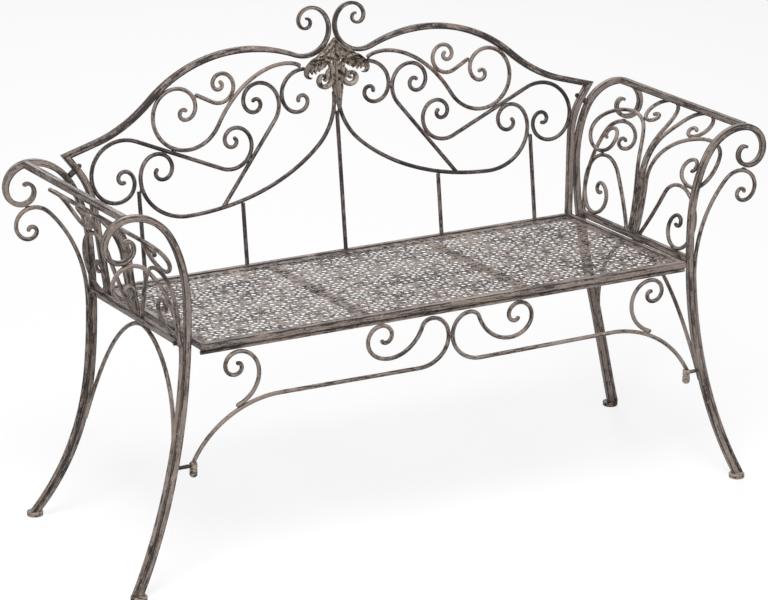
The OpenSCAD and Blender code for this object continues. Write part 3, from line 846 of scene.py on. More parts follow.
class Tree:
    """A node tree written in Python."""

    def __init__(self, tree: bpy.types.NodeTree) -> None:
        """Empties a tree and wraps it."""
        self.tree = tree
        self.tree.nodes.clear()

    def node(self, kind: str, settings: Settings, values: Values) -> dict[str, Value]:
        """Adds a node.

        Args:
            kind: Node type.
            settings: Properties, set first.
            values: Number, colour, link or list of links for each of the node's inputs.

        Returns:
            The node's outputs by name.
        """
        node = self.tree.nodes.new(kind)
        for key, setting in settings.items():
            setattr(node, key, setting)
        for key, value in values.items():
            for item in value if isinstance(value, list) else [value]:
                if isinstance(item, Value):
                    self.tree.links.new(item.socket, node.inputs[key])
                else:
                    node.inputs[key].default_value = item
        outputs: dict[str, Value] = {}
        for socket in node.outputs:
            if socket.enabled and socket.name not in outputs:
                outputs[socket.name] = Value(self, socket)
        return outputs

    def math(self, operation: str, *values: Value | float) -> Value:
        """A Math node."""
        return self.node("ShaderNodeMath", {"operation": operation}, dict(enumerate(values)))["Value"]

    def vector(self, operation: str, values: Values) -> Value:
        """A Vector Math node."""
        return self.node("ShaderNodeVectorMath", {"operation": operation}, values)["Vector"]

    def blend(self, share: Value, first: object, second: object) -> Value:
        """A mix of two colours."""
        values = {0: share, 6: first, 7: second}
        return self.node("ShaderNodeMix", {"data_type": "RGBA"}, values)["Result"]

    def noise(self, place: Value, grain: Grain) -> Value:
        """Noise as a number.

        Args:
            place: Coordinates that it lies in.
            grain: Its pattern.

        Returns:
            The noise.
        """
        if grain.stretch:
            place = self.vector("MULTIPLY", {0: place, 1: grain.stretch})
        values = {"Vector": place, "Scale": grain.scale, "Detail": grain.detail, "Roughness": grain.rough}
        return self.node("ShaderNodeTexNoise", {}, values)["Fac"]


class GeometryTree(Tree):
    """A Geometry Nodes tree with named inputs."""

    def __init__(self, name: str, inputs: dict[str, str]) -> None:
        """Starts a tree.

        Args:
            name: Name of the tree.
            inputs: Kind of each input, by name. "Finish" is added to them.
        """
        super().__init__(bpy.data.node_groups.new(name, "GeometryNodeTree"))
        face = self.tree.interface
        face.new_socket("Geometry", in_out="OUTPUT", socket_type="NodeSocketGeometry")
        for label, kind in {**inputs, "Finish": "Material"}.items():
            face.new_socket(label, in_out="INPUT", socket_type=f"NodeSocket{kind}")
        self.given = self.node("NodeGroupInput", {}, {})

    def shaded(self, geometry: Value, smooth: bool) -> Value:
        """The geometry with smooth or flat shading."""
        values = {"Geometry": geometry, "Shade Smooth": smooth}
        return self.node("GeometryNodeSetShadeSmooth", {}, values)["Geometry"]

    def finish(self, geometry: Value) -> bpy.types.NodeTree:
        """Ends the tree.

        Args:
            geometry: What it has made.

        Returns:
            The tree.
        """
        real = self.node("GeometryNodeRealizeInstances", {}, {"Geometry": geometry})["Geometry"]
        values = {"Geometry": real, "Material": self.given["Finish"]}
        painted = self.node("GeometryNodeSetMaterial", {}, values)
        self.node("NodeGroupOutput", {}, {"Geometry": painted["Geometry"]})
        return self.tree


def grown(
    name: str, seed_mesh: bpy.types.Mesh, tree: bpy.types.NodeTree, values: Settings
) -> bpy.types.Object:
    """A plain mesh object of what a Geometry Nodes tree makes.

    Args:
        name: Name of the object.
        seed_mesh: Mesh that the tree is given.
        tree: The tree.
        values: Its inputs by name.

    Returns:
        The object, in the scene.
    """
    host = placed(f"{name}_host", seed_mesh)
    modifier = host.modifiers.new(name, "NODES")
    modifier.node_group = tree
    for item in tree.interface.items_tree:
        if item.name in values:
            modifier[item.identifier] = values[item.name]
    bpy.context.view_layer.update()
    evaluated = host.evaluated_get(bpy.context.evaluated_depsgraph_get())
    mesh = bpy.data.meshes.new_from_object(evaluated)
    mesh.name = name
    bpy.data.objects.remove(host)
    return placed(name, mesh)


# Finishes

Colour = tuple[float, float, float, float]
WHITE: Colour = (1.0, 1.0, 1.0, 1.0)


def linear(red: int, green: int, blue: int) -> Colour:
    """A colour given in the usual 0 to 255 steps, as the shader wants it."""
    parts = [c / 255 for c in (red, green, blue)]
    return (*[c / 12.92 if c <= 0.04045 else ((c + 0.055) / 1.055) ** 2.4 for c in parts], 1.0)


def tree_of(owner: bpy.types.Material | bpy.types.World) -> Tree:
    """The node tree of a material or world, emptied."""
    owner.use_nodes = True
    return Tree(owner.node_tree)


@dataclass(frozen=True)
class WornPaint:
    """Taupe paint rubbed back to paler grey in patches, dark in its streaks and pits, with painted shade
    in the grooves of a casting and along a bar's corners.

    Attributes:
        paint, rubbed, pits_and_shade, rust: Colours of the paint, its rubbed spots, its streaks and pits
            and the painted shade, and its rust.
        shaded: Brightness of the paint's duller patches.
        dark_share, rubbed_share: How much of the dark and of the rubbed paint shows.
        streak: Features per metre of the streaks, along and across.
        corner_every: Distance between a bar's corners round it, in metres, for the painted shade along
            them, or 0 for none.
        relief: Whether the grooves of a casting get painted shade.
        corner_levels: Distances from a corner between which its painted shade fades, in metres.
        rub_mix, rust_mix, dirt_mix: Weights of the patterns that each kind of mark is mixed from.
        rub_shift, dark_shift: How far the shares move the levels.
        corner_shade, groove_shade: Constant and patchy part of the painted shade along corners and in
            grooves.
        cover: How far rubbed paint, rust and dark cover what is under them.
        height_mix: Weights of streaks, grain, fine grain and, taken off, the dark in the relief.
        rough_mix: Roughness, what grain and dark add to it, and what rubbing takes off.
    """

    name: str
    coords: Coords = Coords.ALONG_PIECE
    slot: Slot = Slot.PAINT
    paint: Colour = linear(134, 121, 113)
    rubbed: Colour = linear(182, 171, 163)
    # Dark colour of the streaks and pits, also used for the painted shade in grooves and along corners.
    pits_and_shade: Colour = linear(30, 24, 24)
    rust: Colour = linear(122, 88, 66)
    shaded: float = 0.72
    dark_share: float = 0.5
    rubbed_share: float = 0.5
    bump: float = 0.0006
    streak: tuple[float, float, float] = (45.0, 330.0, 330.0)
    corner_every: float = 0.0
    relief: bool = False

    fine: Grain = Grain(1.0, 2.0, 0.5, (420.0, 900.0, 900.0))
    cloud: Grain = Grain(11.0, 2.0)
    grain: Grain = Grain(210.0, 4.0, 0.65)
    patches: Grain = Grain(1.0, 3.0, 0.5, (9.0, 70.0, 70.0))
    rubs: Grain = Grain(1.7, 4.0, 0.6, (70.0, 240.0, 240.0))
    rust_clouds: Grain = Grain(34.0)
    rust_specks: Grain = Grain(150.0, 2.0)
    tone: Grain = Grain(23.0)
    dark_levels: tuple[float, float] = (0.565, 0.645)
    rub_levels: tuple[float, float] = (0.60, 0.70)
    rust_levels: tuple[float, float] = (0.57, 0.66)
    tone_levels: tuple[float, float] = (0.3, 0.7)
    groove_levels: tuple[float, float] = (0.05, 0.6)
    corner_levels: tuple[float, float] = (0.0006, 0.0026)
    corner_shift: float = 0.001
    rub_mix: tuple[float, float] = (0.7, 0.32)
    rust_mix: tuple[float, float] = (0.7, 0.3)
    dirt_mix: tuple[float, ...] = (0.5, 0.18, 0.16, 0.24)
    rub_shift: tuple[float, float] = (0.1, 0.08)
    dark_shift: float = 0.1
    # Painted shade along a bar's corners and in a casting's grooves.
    corner_shade: tuple[float, float] = (0.03, 0.1)
    groove_shade: tuple[float, float] = (0.25, 0.75)
    cover: tuple[float, float, float] = (0.62, 0.35, 0.93)
    height_mix: tuple[float, ...] = (0.55, 0.35, 0.2, 0.3)
    rough_mix: tuple[float, ...] = (0.36, 0.24, 0.12, 0.06)
    strength: float = 0.75
    specular: float = 0.3

    def build(self) -> None:
        """Makes the material."""
        t = tree_of(bpy.data.materials.new(self.name))
        place = t.node("ShaderNodeTexCoord", {}, {})["Object"]
        along = place
        if self.coords is Coords.ALONG_PIECE:
            along = t.node("ShaderNodeUVMap", {"uv_map": ALONG}, {})["UV"]
        streaks = t.noise(along, Grain(1.0, 4.0, 0.62, self.streak))
        fine = t.noise(along, self.fine)
        grain = t.noise(place, self.grain)
        dark = self.darkness(t, place, along, streaks, grain)
        clouds, specks = self.rub_mix
        light = t.noise(along, self.rubs) * clouds + fine * specks
        levels = zip(self.rub_levels, self.rub_shift)
        light = light.high(*[level - shift * self.rubbed_share for level, shift in levels])
        clouds, specks = self.rust_mix
        rust = t.noise(place, self.rust_clouds) * clouds + t.noise(place, self.rust_specks) * specks
        dull = (*[c * self.shaded for c in self.paint[:3]], 1.0)
        colour = t.blend(t.noise(place, self.tone).high(*self.tone_levels), self.paint, dull)
        rubbed, rusty, pitted_and_shaded = self.cover
        colour = t.blend(light * rubbed, colour, self.rubbed)
        colour = t.blend(rust.high(*self.rust_levels) * rusty, colour, self.rust)
        # Streaks and pits, and the painted shade in grooves and along corners, take the dark colour.
        colour = t.blend(t.math("MINIMUM", dark, 1.0) * pitted_and_shaded, colour, self.pits_and_shade)
        a, b, c, d = self.height_mix
        height = streaks * a + grain * b + fine * c - dark * d
        relief = {"Strength": self.strength, "Distance": self.bump, "Height": height}
        a, b, c, d = self.rough_mix
        values = {
            "Base Color": colour,
            "Roughness": a + grain * b + dark * c - light * d,
            "Metallic": 0.0,
            "Specular IOR Level": self.specular,
            "Normal": t.node("ShaderNodeBump", {}, relief)["Normal"],
        }
        shader = t.node("ShaderNodeBsdfPrincipled", {}, values)["BSDF"]
        t.node("ShaderNodeOutputMaterial", {}, {"Surface": shader})

    def darkness(self, t: Tree, place: Value, along: Value, streaks: Value, grain: Value) -> Value:
        """How dark the streaks and pits make each point, together with the painted shade along a bar's
        corners and in a casting's grooves.

        Args:
            t: The material's tree.
            place: Coordinates in space.
            along: Lengthwise coordinates.
            streaks: Noise of the streaks.
            grain: Noise of the paint's grain.

        Returns:
            0 on clean paint, 1 in a pit.
        """
        patches = t.noise(along, self.patches)
        a, b, c, d = self.dirt_mix
        dirt_and_shade = streaks * a + grain * b + t.noise(place, self.cloud) * c + patches * d
        # Painted shade along a bar's corners, in patches.
        if self.corner_every:
            across = t.node("ShaderNodeSeparateXYZ", {}, {0: along})["Y"]
            off = t.math("PINGPONG", across - self.corner_shift, self.corner_every / 2)
            steady, patchy = self.corner_shade
            dirt_and_shade = dirt_and_shade + (1 - off.high(*self.corner_levels)) * (steady + patchy * patches)
        dark = dirt_and_shade.high(*[level - self.dark_shift * self.dark_share for level in self.dark_levels])
        # Painted shade in a casting's grooves, where its relief is low.
        if self.relief:
            height = t.node("ShaderNodeAttribute", {"attribute_name": HEIGHT}, {})["Fac"]
            groove = 1 - height.high(*self.groove_levels)
            steady, grainy = self.groove_shade
            dark = t.math("MAXIMUM", dark, groove * (steady + grainy * grain))
        return dark


@dataclass(frozen=True)
class Ground:
    """Pale ground that keeps the bench's soft shadow under a share of plain white."""

    name: str = "pale_ground"
    matt: Colour = (0.86, 0.86, 0.86, 1.0)
    own_light: float = 0.8

    def build(self) -> bpy.types.Material:
        """Makes the material.

        Returns:
            The material.
        """
        material = bpy.data.materials.new(self.name)
        t = tree_of(material)
        path = t.node("ShaderNodeLightPath", {}, {})
        seen = path["Is Camera Ray"] + path["Is Glossy Ray"] + path["Is Transmission Ray"]
        matt = t.node("ShaderNodeBsdfDiffuse", {}, {"Color": self.matt})["BSDF"]
        white = t.node("ShaderNodeEmission", {}, {"Color": WHITE, "Strength": 1.0})["Emission"]
        share = t.math("MINIMUM", seen, 1.0) * self.own_light
        shader = t.node("ShaderNodeMixShader", {}, {0: share, 1: matt, 2: white})["Shader"]
        t.node("ShaderNodeOutputMaterial", {}, {"Surface": shader})
        return material


# Distance between the corners round a bar, in metres, along which the bar finishes paint shade.
BAR_CORNERS = 0.0114


class Finish(Enum):
    """Finishes of the bench."""

    ROD = WornPaint("worn_paint_on_rod")
    BAR = WornPaint(
        "worn_paint_on_bar", dark_share=0.4, rubbed_share=0.6, streak=(26.0, 420.0, 420.0),
        corner_every=BAR_CORNERS,
    )
    DARK_ROD = WornPaint(
        "dark_paint_on_rod", paint=linear(112, 101, 97), rubbed=linear(168, 158, 152), dark_share=0.8
    )
    TOP_BAR = WornPaint(
        "dark_paint_on_bar", dark_share=0.75, rubbed_share=0.6, streak=(22.0, 330.0, 330.0),
        corner_every=BAR_CORNERS,
    )
    # Paler paint on the braces: painted light that lifts the shade under the seat sheet.
    BRACE = WornPaint(
        "worn_paint_on_brace", Coords.IN_SPACE, paint=linear(160, 146, 136), dark_share=0.2,
        streak=(90.0,) * 3,
    )
    SHEET = WornPaint(
        "worn_paint_on_sheet", Coords.IN_SPACE, paint=linear(124, 110, 102), dark_share=0.55,
        rubbed_share=0.45, bump=0.0004, streak=(90.0,) * 3,
    )
    # The casting takes painted shade in its grooves.
    CAST = WornPaint(
        "worn_paint_on_casting", Coords.IN_SPACE, Slot.CAST, paint=linear(150, 137, 126),
        rubbed=linear(192, 178, 163), dark_share=0.35, bump=0.0008, streak=(120.0,) * 3, relief=True,
    )
    STEEL = WornPaint(
        "dark_steel", Coords.IN_SPACE, Slot.FASTENING, paint=linear(84, 75, 70),
        rubbed=linear(138, 128, 120), dark_share=0.75, rubbed_share=0.2, bump=0.0003,
        streak=(150.0,) * 3,
    )
    # Near-black paint for the ornament's eyes: painted shade standing for the shaded recesses.
    PIT = WornPaint(
        "dark_recess", Coords.IN_SPACE, Slot.CAST, paint=linear(34, 27, 25), rubbed=linear(60, 50, 46),
        rubbed_share=0.1,
    )
    WELD = WornPaint(
        "worn_paint_on_welds", Coords.IN_SPACE, paint=linear(122, 109, 101), dark_share=0.6,
        rubbed_share=0.6, streak=(200.0,) * 3,
    )

    @property
    def material(self) -> bpy.types.Material:
        """The material that main had built."""
        return bpy.data.materials[self.value.name]


# Legs and posts


@dataclass
class Legs:
    """Square posts with their round leg rods, in both ends of both arms.

    Attributes:
        post: Drawn centreline of a post.
        rod_leaves: Share of the post's first bend that the leg rod runs along.
        rod_bends: Bends of the rod after that, before they move out to the rod's own centreline.
        drawn_beside: Distance of the drawn rod from the post's centreline.
        full_past_crest: Distance past its crest over which a post keeps its size.
        bevel, dents: Radius of a post's corners and depth of its dents, as a share of its size.
        seed, rod_seed: First seeds of the posts' and the rods' random draws.
    """

    plan: Plan
    post: Drawn = (
        (621.0, 16.6, 117.0),
        ((818, 1268, -28), (362, 159, -29), (98, 68, -67), (55, 25, -135), (32, 5, -257)),
    )
    rod_leaves: float = 0.82
    rod_bends: tuple[Move, ...] = ((270, 211, -47), (44, 11, -306), (11, 5, -189))
    drawn_beside: float = 10.3
    drawn_post_x: float = 519.0
    full_past_crest: float = 30.0
    bevel: float = 1.6
    dents: float = 0.03
    seed: int = 10
    rod_seed: int = 30

    def fitted(self, path: Path, crest_z: float) -> Path:
        """A drawn path set to the seat's and the arm's height.

        Args:
            path: The drawn path.
            crest_z: Height of the post's crest.

        Returns:
            The fitted path.
        """
        plan = self.plan
        p = path.points.copy()
        below = p[:, 1] < plan.drawn_seat_h
        above = (crest_z - plan.seat_h) / (plan.drawn_crest_z - plan.drawn_seat_h)
        kz = np.where(below, plan.seat_h / plan.drawn_seat_h, above)
        h = np.radians(p[:, 2])
        p[:, 0] = plan.post_x + (p[:, 0] - self.drawn_post_x)
        p[:, 1] = np.where(below, p[:, 1] * kz, plan.seat_h + (p[:, 1] - plan.drawn_seat_h) * kz)
        p[:, 2] = np.degrees(np.arctan2(kz * np.sin(h), np.cos(h)))
        return Path(p)

    def post_path(self, crest_z: float) -> Path:
        """Centreline of a post in the XZ plane."""
        return self.fitted(Path.bent(*self.post), crest_z)

    def rod_path(self, crest_z: float) -> Path:
        """Centreline of the rod beside a post.

        Args:
            crest_z: Height of the post's crest.

        Returns:
            The path in the XZ plane.
        """
        start, moves = self.post
        r0, r1, turn = moves[0]
        shared = (r0, r0 + (r1 - r0) * self.rod_leaves, turn * self.rod_leaves)
        out = self.drawn_beside
        rest = [(first + out, last + out, way) for first, last, way in self.rod_bends]
        return self.fitted(Path.bent(start, (shared, *rest)), crest_z).beside(self.plan.lying)

    def build(self) -> None:
        """Makes all posts and leg rods."""
        plan = self.plan
        ends = (
            ("front", plan.front_post_y, plan.crest_front_z),
            ("back", plan.back_post_y, plan.crest_back_z),
        )
        stand = (UP * (plan.cap_h + AIR), UP)
        legs = 0
        for end, y_of, crest_z in ends:
            place: Place = lambda x, z, d, f=y_of: plan.centred(x, f(z) - d, z)
            path = self.post_path(crest_z)
            for side in Side:
                post = Skin(self.seed + legs)
                post.sweep(path, place, self.tapered(path), stand, dents=self.dents)
                post.piece(side.of(f"{end}_post_bar"), Finish.BAR, side.of(f"{end}_post"), side=side)
                rod = Skin(self.rod_seed + legs)
                rod.sweep(self.rod_path(crest_z), place, round_outline(plan.rod_r), stand)
                rod.piece(side.of(f"{end}_leg_scroll"), Finish.ROD, side.of(f"{end}_leg_rod"), side=side)
                legs += 1

    def tapered(self, path: Path) -> list[np.ndarray]:
        """Outlines along a post that keep their size up to the scroll past its crest.

        Args:
            path: The post's centreline.

        Returns:
            An outline for each station.
        """
        plan = self.plan
        length = path.lengths()
        scroll = length[int(np.argmax(path.points[:, 1]))] + self.full_past_crest
        rows = []
        for d in length:
            t = max(0.0, d - scroll) / (length[-1] - scroll)
            w = plan.bar_d + (plan.drawn_tip - plan.bar_d) * t
            rows.append(bar_outline(w, w + (plan.bar_d - w) / 2, self.bevel * w / plan.bar_d))
        return rows


# Arms


@dataclass
class Arms:
    """Arm rails, armrests, leg arches and the fans of rods between them.

    Attributes:
        flare: Drawn section of the fan, which leans outwards.
        stems, loop, curl, arch_path: Drawn rods of half the fan and the drawn arch.
        curl_touch_z: Height over the arm rail at which the curls touch the posts.
        fan_air: Air under the fan's rods.
        arch_drop: Distance from the seat down to the arch's feet.
        rail_air, armrest_air: Air at the rail's front end and at both ends of the armrest.
        bevel, dents: Radius of a rail's corners and depth of its dents, as a share of its size.
    """

    plan: Plan
    legs: Legs
    flare: Drawn = ((519.0, 0.0, 75.0), ((374, 864, 10), (135, 110, -50), (88,)))
    stems: Drawn = ((4.15, 0.3, 90.0), ((162,), (419, 20, -27), (47, 13, -319), (5, 13, -150)))
    loop: Drawn = ((12.45, 0.3, 88.0), ((107,), (151, 38, -176), (40, 56, -122), (29, 5, -324)))
    curl: Drawn = ((22.0, 0.3, 59.6), ((116,), (49, 73, -185), (40, 28, -217), (13, 7, -243)))
    curl_touch_z: float = 60.0
    fan_air: float = 0.02
    arch_path: Drawn = ((-174.1, -226.6, 84.0), ((363, 57, -84), (57, 363, -84)))
    arch_drop: float = 245.0
    rail_air: float = 0.2
    armrest_air: tuple[float, float] = (0.3, 0.9)
    rail_steps: int = 36
    bevel: float = 1.4
    dents: float = 0.012
    seed: int = 60

    def __post_init__(self) -> None:
        """Works out how far the fan reaches."""
        plan = self.plan
        top = Path.bent(*self.stems).points[:, 1].max()
        self.kz = (plan.armrest_z - plan.lying) / at_length(*self.flare, top)[1]
        z = plan.seat_h + plan.arm_rail_rise + self.curl_touch_z
        front = plan.arm_local(plan.front_post_setback + plan.lying, z)[0]
        back = plan.arm_local(plan.back_post_y(plan.seat_h + self.curl_touch_z) - plan.lying, z)[0]
        self.fan_y = (front + back) / 2
        self.kh = (back - front) / 2 / Path.bent(*self.curl).points[:, 0].max()

    def on_fan(self, h: float, s: float, d: float) -> np.ndarray:
        """A point of the fan.

        Args:
            h: Distance from its middle, towards the back.
            s: Distance up along the flare.
            d: Distance out from it.

        Returns:
            The point in the bench's own frame.
        """
        x, z, heading = at_length(*self.flare, s)
        a = math.radians(heading)
        out = self.plan.post_x + x - self.flare[0][0] + d * math.sin(a)
        return self.plan.in_arm(out, self.fan_y + h, z * self.kz - d * math.cos(a))

    def fan_rod(self, skin: Skin, drawn: Drawn, back: bool) -> None:
        """Sweeps one rod of the fan.

        Args:
            skin: Skin that takes it.
            drawn: The drawn rod.
            back: Whether it lies in the back half.
        """
        plan = self.plan
        up = plan.in_arm(0, 0, 1.0) - plan.in_arm(0, 0, 0.0)
        place: Place = self.on_fan if back else (lambda h, s, d: self.on_fan(-h, s, d))
        path = Path.bent(*drawn).stretched(self.kh, 1.0)
        skin.sweep(path, place, round_outline(plan.rod_r), (plan.in_arm(0, 0, self.fan_air), up))

    def build(self) -> None:
        """Makes both arms."""
        for side in Side:
            seed = self.seed + (side is Side.LEFT)
            both = Skin(seed)
            for back in (False, True):
                self.fan_rod(both, self.stems, back)
            both.piece(side.of("fan_stem_rods"), Finish.ROD, side.of("fan_stems"), side=side)
            for back, end in ((False, "front"), (True, "back")):
                for kind, drawn in (("loop", self.loop), ("curl", self.curl)):
                    rod = Skin(seed + 3 + 5 * back + (kind == "loop"))
                    self.fan_rod(rod, drawn, back)
                    node = side.of(f"fan_{end}_{kind}")
                    rod.piece(f"{node}_rod", Finish.ROD, node, side=side)
            self.bars(side, seed)
            self.arch(side, seed + 50)

    def bars(self, side: Side, seed: int) -> None:
        """Makes the arm rail and the armrest of one side.

        Args:
            side: The side.
            seed: Seed of the random draws.
        """
        plan = self.plan
        face = plan.front_post_setback + plan.bar_r + plan.weld_gap
        behind = plan.bar_r + plan.weld_gap * 2
        low = -plan.bar_r
        rail = (
            plan.arm_local(face, plan.seat_h + plan.arm_rail_rise + low)[0] + self.rail_air,
            plan.arm_local(plan.back_post_y(plan.seat_h) - behind, plan.seat_h + low)[0],
        )
        z1 = plan.crest_back_z
        rest = (
            plan.arm_local(face, plan.crest_front_z)[0] + self.armrest_air[0],
            plan.arm_local(plan.back_post_y(z1) - behind, z1)[0] - self.armrest_air[1],
        )
        rest_x = plan.post_x + plan.armrest_out
        outline = bar_outline(plan.bar_d - AIR, plan.bar_d - AIR, self.bevel)
        bars = (("arm_rail", 30, plan.post_x, low, rail), ("armrest", 40, rest_x, plan.armrest_z, rest))
        for node, more, x, z, (y0, y1) in bars:
            skin = Skin(seed + more)
            place: Place = lambda a, b, d, x=x, z=z: plan.in_arm(x + a, b, z + d)
            path = Path.straight((0.0, y0), (0.0, y1), self.rail_steps)
            skin.sweep(path, place, outline, tip_end=False, dents=self.dents)
            skin.piece(side.of(f"{node}_bar"), Finish.BAR, side.of(node), side=side)

    def arch(self, side: Side, seed: int) -> None:
        """Makes the arch under one arm rail.

        Args:
            side: The side.
            seed: Seed of the random draws.
        """
        plan = self.plan
        foot_z = plan.seat_h - self.arch_drop
        low, high = plan.front_post_y(foot_z) + plan.lying, plan.back_post_y(foot_z) - plan.lying
        y = (low + high) / 2
        a = math.radians(plan.arm_pitch)
        top = plan.seat_h + plan.arm_rail_rise - y * math.tan(a)
        top -= (plan.bar_d + plan.rod_r + plan.weld_gap) / math.cos(a)
        x0, y0, _ = self.arch_path[0]
        path = Path.bent(*self.arch_path).stretched((high - low) / (-2 * x0), (top - foot_z) / -y0)
        post = self.legs.post_path(plan.crest_front_z).points
        rising = post[: int(np.argmax(post[:, 1]))]
        xs, zs = rising[:, 0], rising[:, 1]
        place: Place = lambda py, z, d: plan.centred(float(np.interp(z, zs, xs)) + d, py, z)
        skin = Skin(seed)
        skin.sweep(path.moved(y, top), place, round_outline(plan.rod_r), tip_start=True)
        skin.piece(side.of("leg_arch_rod"), Finish.ROD, side.of("leg_arch"), side=side)


# Back


@dataclass
class Back:
    """Back panel: uprights, top rails, scrolls and spindles.

    Attributes:
        upright, top, scrolls: Drawn bars, and drawn scrolls by name.
        dark: Scrolls in the darker paint.
        rail_shares, rail_widths: Shares of the top rail's length and its widths there.
        foot_reach: How far from its drawn foot the diagonal scroll looks for the swag.
        foot_clear: Height over the swag below which the diagonal scroll's stations are left out.
        foot_run: Length of the straight by which it then goes back to the swag.
        dents: Depth of a bar's dents, as a share of its size.
        spindle_step, spindle_air: Distance between a spindle's stations, and the air over it.
        spindle_inset: How much thinner a spindle's radius is than its solid's.
        seed, left_seed, spindle_seed: First seeds of each half's and the spindles' random draws.
    """

    plan: Plan
    upright: Drawn = ((490.2, -5.1, 84.6), ((152,), (165, 131, -31), (32,)))
    top: Drawn = (
        (550.8, 246.2, 164.3),
        ((64,), (220, 342, -26), (272, 299, 64), (60, 16, -307), (15, 5, -275)),
    )
    scrolls: dict[str, Drawn] = field(
        default_factory=lambda: {
            "outer_scroll": (
                (441.3, 184.45, -35.9),
                ((5, 15, 233), (16, 74, 366), (181,), (51, 14, -313), (15, 5, -227)),
            ),
            "crown_scroll": ((309.46, 299.19, 52.1), ((5, 11, -189), (9, 80, -463), (243, 17, 93))),
            "crown_curl": ((285.63, 324.46, -152.5), ((34,), (34, 15, -302), (12, 5, -242))),
            "diagonal_scroll": ((254, 104.8, 128.7), ((198,), (50.5, 16, -313), (16, 5, -234))),
            "centre_scroll": ((64, 346.8, 1.5), ((52, 13, -275), (13, 5, -200))),
            "swag": (
                (374.8, 199.0, -29.2),
                ((5, 34, -370), (33, 108, -142), (562, 262, -41), (124, 114, -51)),
            ),
        }
    )
    dark: tuple[str, ...] = ("swag", "diagonal_scroll", "outer_scroll", "centre_scroll")
    rail_shares: tuple[float, ...] = (0.0, 0.55, 0.66, 0.78, 0.9, 1.0)
    rail_widths: tuple[float, ...] = (12.0, 12.0, 9.0, 7.8, 6.5, 5.0)
    foot_reach: float = 40.0
    foot_clear: float = 5.0
    foot_run: float = 2.0
    dents: float = 0.02
    spindle_step: float = 9.0
    spindle_air: float = 0.6
    spindle_inset: float = 0.02
    seed: int = 200
    left_seed: int = 250
    spindle_seed: int = 290

    def path(self, drawn: Drawn) -> Path:
        """A drawn path stretched up to the panel's real height."""
        return Path.bent(*drawn).stretched(1.0, self.plan.back_h / self.plan.drawn_back_h)

    @property
    def on_seat(self) -> Plane:
        """The plane that uprights and spindles stand on."""
        plan = self.plan
        return plan.in_seat(0, 0, AIR), plan.in_seat(0, 0, 1) - plan.in_seat(0, 0, 0)

    def build(self) -> None:
        """Makes the whole back."""
        for side in Side:
            seed = self.left_seed if side is Side.LEFT else self.seed
            for k, name in enumerate(self.scrolls):
                self.scroll(name, side, seed + k)
            self.bars(side, seed + 20)
        self.spindles()

    def scroll(self, name: str, side: Side, seed: int) -> None:
        """Makes one scroll.

        Args:
            name: Its name.
            side: Its side.
            seed: Seed of the random draws.
        """
        path, stand = self.path(self.scrolls[name]), None
        if name == "diagonal_scroll":
            path, stand = self.standing_on_swag(path)
        skin = Skin(seed)
        outline = round_outline(self.plan.rod_r)
        skin.sweep(path, self.plan.in_back, outline, stand, tip_start=stand is None)
        finish = Finish.DARK_ROD if name in self.dark else Finish.ROD
        skin.piece(side.of(f"{name}_rod"), finish, side.of(name), side=side)

    def standing_on_swag(self, path: Path) -> tuple[Path, Plane]:
        """The diagonal scroll's path cut off where it meets the swag.

        Args:
            path: The whole path.

        Returns:
            The path that is left and the plane on the swag that its foot lies in.
        """
        plan = self.plan
        reach, heading = self.path(self.scrolls["swag"]).crossing(path.pose(0), self.foot_reach)
        a = math.radians(heading)
        up = np.array([math.sin(a), -math.cos(a)])
        at = np.array(after(path.pose(0), (reach,))[:2]) + up * plan.rod_r
        stand = (plan.in_back(*at, 0), plan.in_back(*up, 0) - plan.in_back(0, 0, 0))
        off = np.array([(plan.in_back(x, y, 0) - stand[0]) @ stand[1] for x, y in path.points[:, :2]])
        kept = path.points[int(np.argmax(off * math.copysign(1, off[-1]) >= self.foot_clear)) :]
        foot = kept[:1].copy()
        foot[0, :2] = after(tuple(kept[0, :3]), (-self.foot_run,))[:2]
        return Path(np.vstack([foot, kept])), stand

    def bars(self, side: Side, seed: int) -> None:
        """Makes an upright and a top rail, mitred where they meet.

        Args:
            side: Their side.
            seed: Seed of the random draws.
        """
        plan = self.plan
        upright, top = self.path(self.upright), self.path(self.top)
        x, v, heading = upright.pose(-1)
        a = math.radians((heading + top.points[0, 2]) / 2 - 90)
        normal = plan.in_back(-math.sin(a), math.cos(a), 0) - plan.in_back(0, 0, 0)
        mitre = (plan.in_back(x, v, 0), normal)
        downwards = upright.points[::-1].copy()
        downwards[:, 2] += 180
        skin = Skin(seed)
        self.mitred(skin, Path(downwards), mitre, self.on_seat)
        skin.piece(side.of("back_upright_bar"), Finish.BAR, side.of("back_upright"), side=side)
        rail = Skin(seed + 1)
        self.mitred(rail, top, mitre, None)
        rail.piece(side.of("top_rail_bar"), Finish.TOP_BAR, side.of("top_rail"), side=side)

    def mitred(self, skin: Skin, path: Path, mitre: Plane, foot: Optional[Plane]) -> None:
        """Sweeps a bar whose first end lies on the mitre.

        Args:
            skin: Skin that takes it.
            path: Its centreline from the mitre on.
            mitre: The mitre's plane.
            foot: Plane that its last end stands on. A bar without one tapers to its end.
        """
        plan = self.plan
        full_from, narrow_depth, tip_depth, bevel, bevel_share = 11, 0.1, 2.0, 1.5, 5
        rows = []
        length = path.lengths()
        for share in length / length[-1]:
            w = plan.bar_d if foot else float(np.interp(share, self.rail_shares, self.rail_widths))
            depth = plan.bar_d - narrow_depth if w > full_from else w + tip_depth
            rows.append(bar_outline(w - AIR, depth, min(bevel, w / bevel_share)))
        skin.sweep(path, plan.in_back, rows, tip_end=False, dents=self.dents)
        r = skin.points[-1].reshape(len(rows), -1, 3) / MM
        r[0] = slid(r[0], r[1].mean(0) - r[0].mean(0), mitre)
        if foot:
            r[-1] = slid(r[-1], r[-2].mean(0) - r[-1].mean(0), foot)
        skin.points[-1] = r.reshape(-1, 3) * MM

